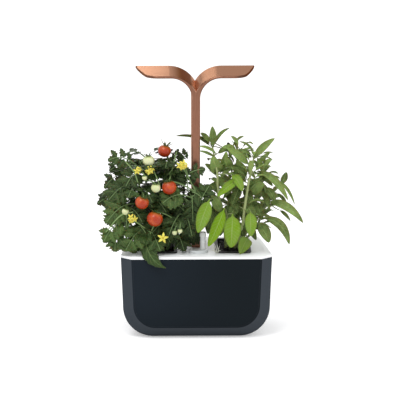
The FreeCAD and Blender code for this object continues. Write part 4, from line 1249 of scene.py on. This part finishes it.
# Pale rootlets that stick up beside the right pod: root and tip, column, row and depth.
ROOTLETS = (
    ((216, 252.5, -54), (211, 245, -58)),
    ((217, 252.5, -54), (214, 243.5, -58)),
    ((218, 252.5, -54), (219.5, 246, -57)),
    ((216.5, 252.5, -54), (209.5, 251.5, -60)),
    ((218.5, 252.5, -54), (217, 244.5, -56)),
    ((217.5, 252.5, -54), (221, 251.0, -60)),
)


def rootlets(material):
    builder = Builder()
    for index, (root, end) in enumerate(ROOTLETS):
        start, tip = seen(*root), seen(*end)
        bow = (start + tip) / 2 + Vector((0, -2.5, 3.0 + index % 2 * 2))
        points, _ = bent(start, bow, tip, 10)
        tapered(builder, points, 0.70, 0.25, 0.5)
    builder.piece("sage_rootlets", material, "pod_right", "wick")


# The carried-over nodes that each material goes on, and those that come as a left and a right one.
FINISHES = {
    "shell": ("tank_shell",),
    "liner": ("reservoir_liner", "mast_sleeve"),
    "rubber": ("rubber_feet", "sleeve_seal", "supply_lead", "service_lead", "cap_seal"),
    "white": ("planting_tray", "mast_collar", "fill_neck", "power_button"),
    "steel": ("sleeve_screws", "rear_screws", "board_screws", "foot_pins"),
    "guide": ("mast_bushing", "gauge_guide", "float_stem", "mast_foot"),
    "black": ("dc_inlet", "board_parts"),
    "panel": ("rear_panel",),
    "board": ("control_board",),
    "cap": ("fill_cap",),
    "milky": ("gauge_tube",),
    "knob": ("gauge_knob",),
    "foam": ("float_body",),
}
PAIRED_FINISHES = {
    "copper": "ribbon",
    "bright": "led_board",
    "chips": "led_chips",
    "frosted": "diffuser",
    "pod": "pod_cup",
    "felt": "wicks",
}


def dress_frame(materials):
    """Gives every carried-over node its material."""
    pairs = {key: (name + "_left", name + "_right") for key, name in PAIRED_FINISHES.items()}
    for key, nodes in {**FINISHES, **pairs}.items():
        for node in nodes:
            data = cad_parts[node].data
            data.materials.clear()
            data.materials.append(materials[key])


def make_materials():
    sage_shades = (rgb(0.022, 0.044, 0.008), rgb(0.215, 0.315, 0.088), rgb(0.155, 0.295, 0.002))
    sage_vein = rgb(0.34, 0.42, 0.15)
    tomato_shades = (rgb(0.006, 0.016, 0.003), rgb(0.034, 0.068, 0.014), rgb(0.100, 0.176, 0.036))
    tomato_vein = rgb(0.20, 0.29, 0.10)
    ripe = (rgb(0.38, 0.034, 0.006), rgb(0.52, 0.078, 0.010), rgb(0.30, 0.10, 0.015))
    unripe = (rgb(0.58, 0.62, 0.32), rgb(0.70, 0.72, 0.44), rgb(0.38, 0.48, 0.16))
    return {
        "shell": gloss_shell(),
        "liner": moulded("grey_liner", (0.50, 0.52, 0.53), 0.5),
        "rubber": moulded("black_rubber", (0.02, 0.02, 0.02), 0.85, 500.0, 0.0001),
        "white": moulded("white_tray", (0.93, 0.94, 0.95), 0.30, 1200.0, 0.00002),
        "guide": moulded("slippery_plastic", (0.70, 0.70, 0.67), 0.45),
        "panel": moulded("rear_panel", (0.014, 0.018, 0.021), 0.35, 1500.0, 0.00005),
        "black": moulded("black_plastic", (0.012, 0.012, 0.012), 0.55),
        "pod": moulded("pod_plastic", (0.008, 0.008, 0.009), 0.50, 1500.0, 0.00006,
                       specular_ior_level=0.20),
        "cap": moulded("cap_plastic", (0.72, 0.75, 0.75), 0.30, 1200.0, 0.00002),
        "knob": moulded("knob_plastic", (0.86, 0.88, 0.84), 0.35, 1200.0, 0.00002),
        "foam": moulded("float_foam", (0.80, 0.80, 0.76), 0.9, 350.0, 0.0003),
        "chips": moulded("light_chips", (0.80, 0.70, 0.30), 0.4),
        "steel": steel("screw_steel", (0.55, 0.55, 0.56), 0.35),
        "bright": steel("board_aluminium", (0.80, 0.80, 0.80), 0.4),
        "copper": brushed("brushed_copper", (0.262, 0.124, 0.080), 0.33, 0.6),
        "milky": milky(),
        "frosted": frosted(),
        "felt": felt(),
        "board": circuit(),
        "peat": peat(),
        "sage": leaf_material("sage_leaf", sage_shades, sage_vein, 11.0, 620.0, 0.60, 0.60, 0.12),
        "tomato": leaf_material("tomato_leaf", tomato_shades, tomato_vein, 6.0, 420.0, 0.42, 0.50, 0.17),
        "sage_stalk": stalk_material("sage_stalk", rgb(0.07, 0.09, 0.03), rgb(0.30, 0.35, 0.14)),
        "tomato_stalk": stalk_material("tomato_stalk", rgb(0.03, 0.07, 0.02), rgb(0.21, 0.32, 0.11)),
        "ripe": fruit_skin("ripe_skin", *ripe),
        "unripe": fruit_skin("unripe_skin", *unripe),
        "petal": petal_material(),
        "root": moulded("pale_root", (0.66, 0.66, 0.56), 0.7),
    }


# The studio: the world's light on the object, and the floor's own glow, seen straight and mirrored.
AMBIENT = 0.94
FLOOR_SIZE = 14.0
FLOOR_SEEN = 0.34
FLOOR_MIRRORED = 0.16

# Two broad lamps in front, and a small one behind that brightens the lamp's left leaf: place and aim in
# metres, size, power.
LAMPS = (
    ("key", (-0.75, -1.25, 2.45), (0.0, 0.0, 0.2), 1.4, 27.0),
    ("fill", (1.9, -1.0, 1.0), (0.0, 0.0, 0.2), 1.4, 4.0),
    ("leaf_glow", (-0.15, 0.75, 0.62), (-0.07, 0.01, 0.41), 0.26, 0.6),
)


def background():
    """White for the camera, reflections and refractions; soft light for everything else."""
    world = bpy.data.worlds.new("studio")
    bpy.context.scene.world = world
    sky = Nodes(world, "Background")
    path = sky.node("ShaderNodeLightPath")
    shown = sky.math("MAXIMUM", path["Is Camera Ray"], path["Is Glossy Ray"])
    shown = sky.math("MAXIMUM", shown, path["Is Transmission Ray"])
    sky.set(color=WHITE, strength=sky.span(shown, AMBIENT, 1.0))


def studio_floor():
    """Pale floor that reads as white and keeps the shadow."""
    half = FLOOR_SIZE / 2
    corners = [(-half, -half, 0), (half, -half, 0), (half, half, 0), (-half, half, 0)]
    mesh = bpy.data.meshes.new("studio_floor")
    mesh.from_pydata(corners, [], [(0, 1, 2, 3)])
    floor = add_object("studio_floor", mesh)
    shader = Shader("studio_floor")
    shader.set(base_color=rgb(0.86, 0.86, 0.87), roughness=0.9, specular_ior_level=0.0)
    path = shader.node("ShaderNodeLightPath")
    mirrored = shader.math("MAXIMUM", path["Is Glossy Ray"], path["Is Transmission Ray"])
    direct = shader.times(path["Is Camera Ray"], FLOOR_SEEN)
    shown = shader.math("MAXIMUM", direct, shader.times(mirrored, FLOOR_MIRRORED))
    shader.set(emission_color=WHITE, emission_strength=shown)
    mesh.materials.append(shader.material)


def area_light(name, place, aim, size, power):
    data = bpy.data.lights.new(name, "AREA")
    data.shape = "DISK"
    data.size = size
    data.energy = power
    lamp = add_object(name, data)
    lamp.visible_camera = False
    look_along(lamp, place, Vector(aim) - Vector(place))


def light_studio():
    for lamp in LAMPS:
        area_light(*lamp)
    bpy.context.scene.view_settings.view_transform = "Standard"


place_camera()
materials = make_materials()
dress_frame(materials)
growing_block("left", materials["peat"])
growing_block("right", materials["peat"])
tomato_plant(materials)
sage_plant(materials)
rootlets(materials["root"])
background()
studio_floor()
light_studio()
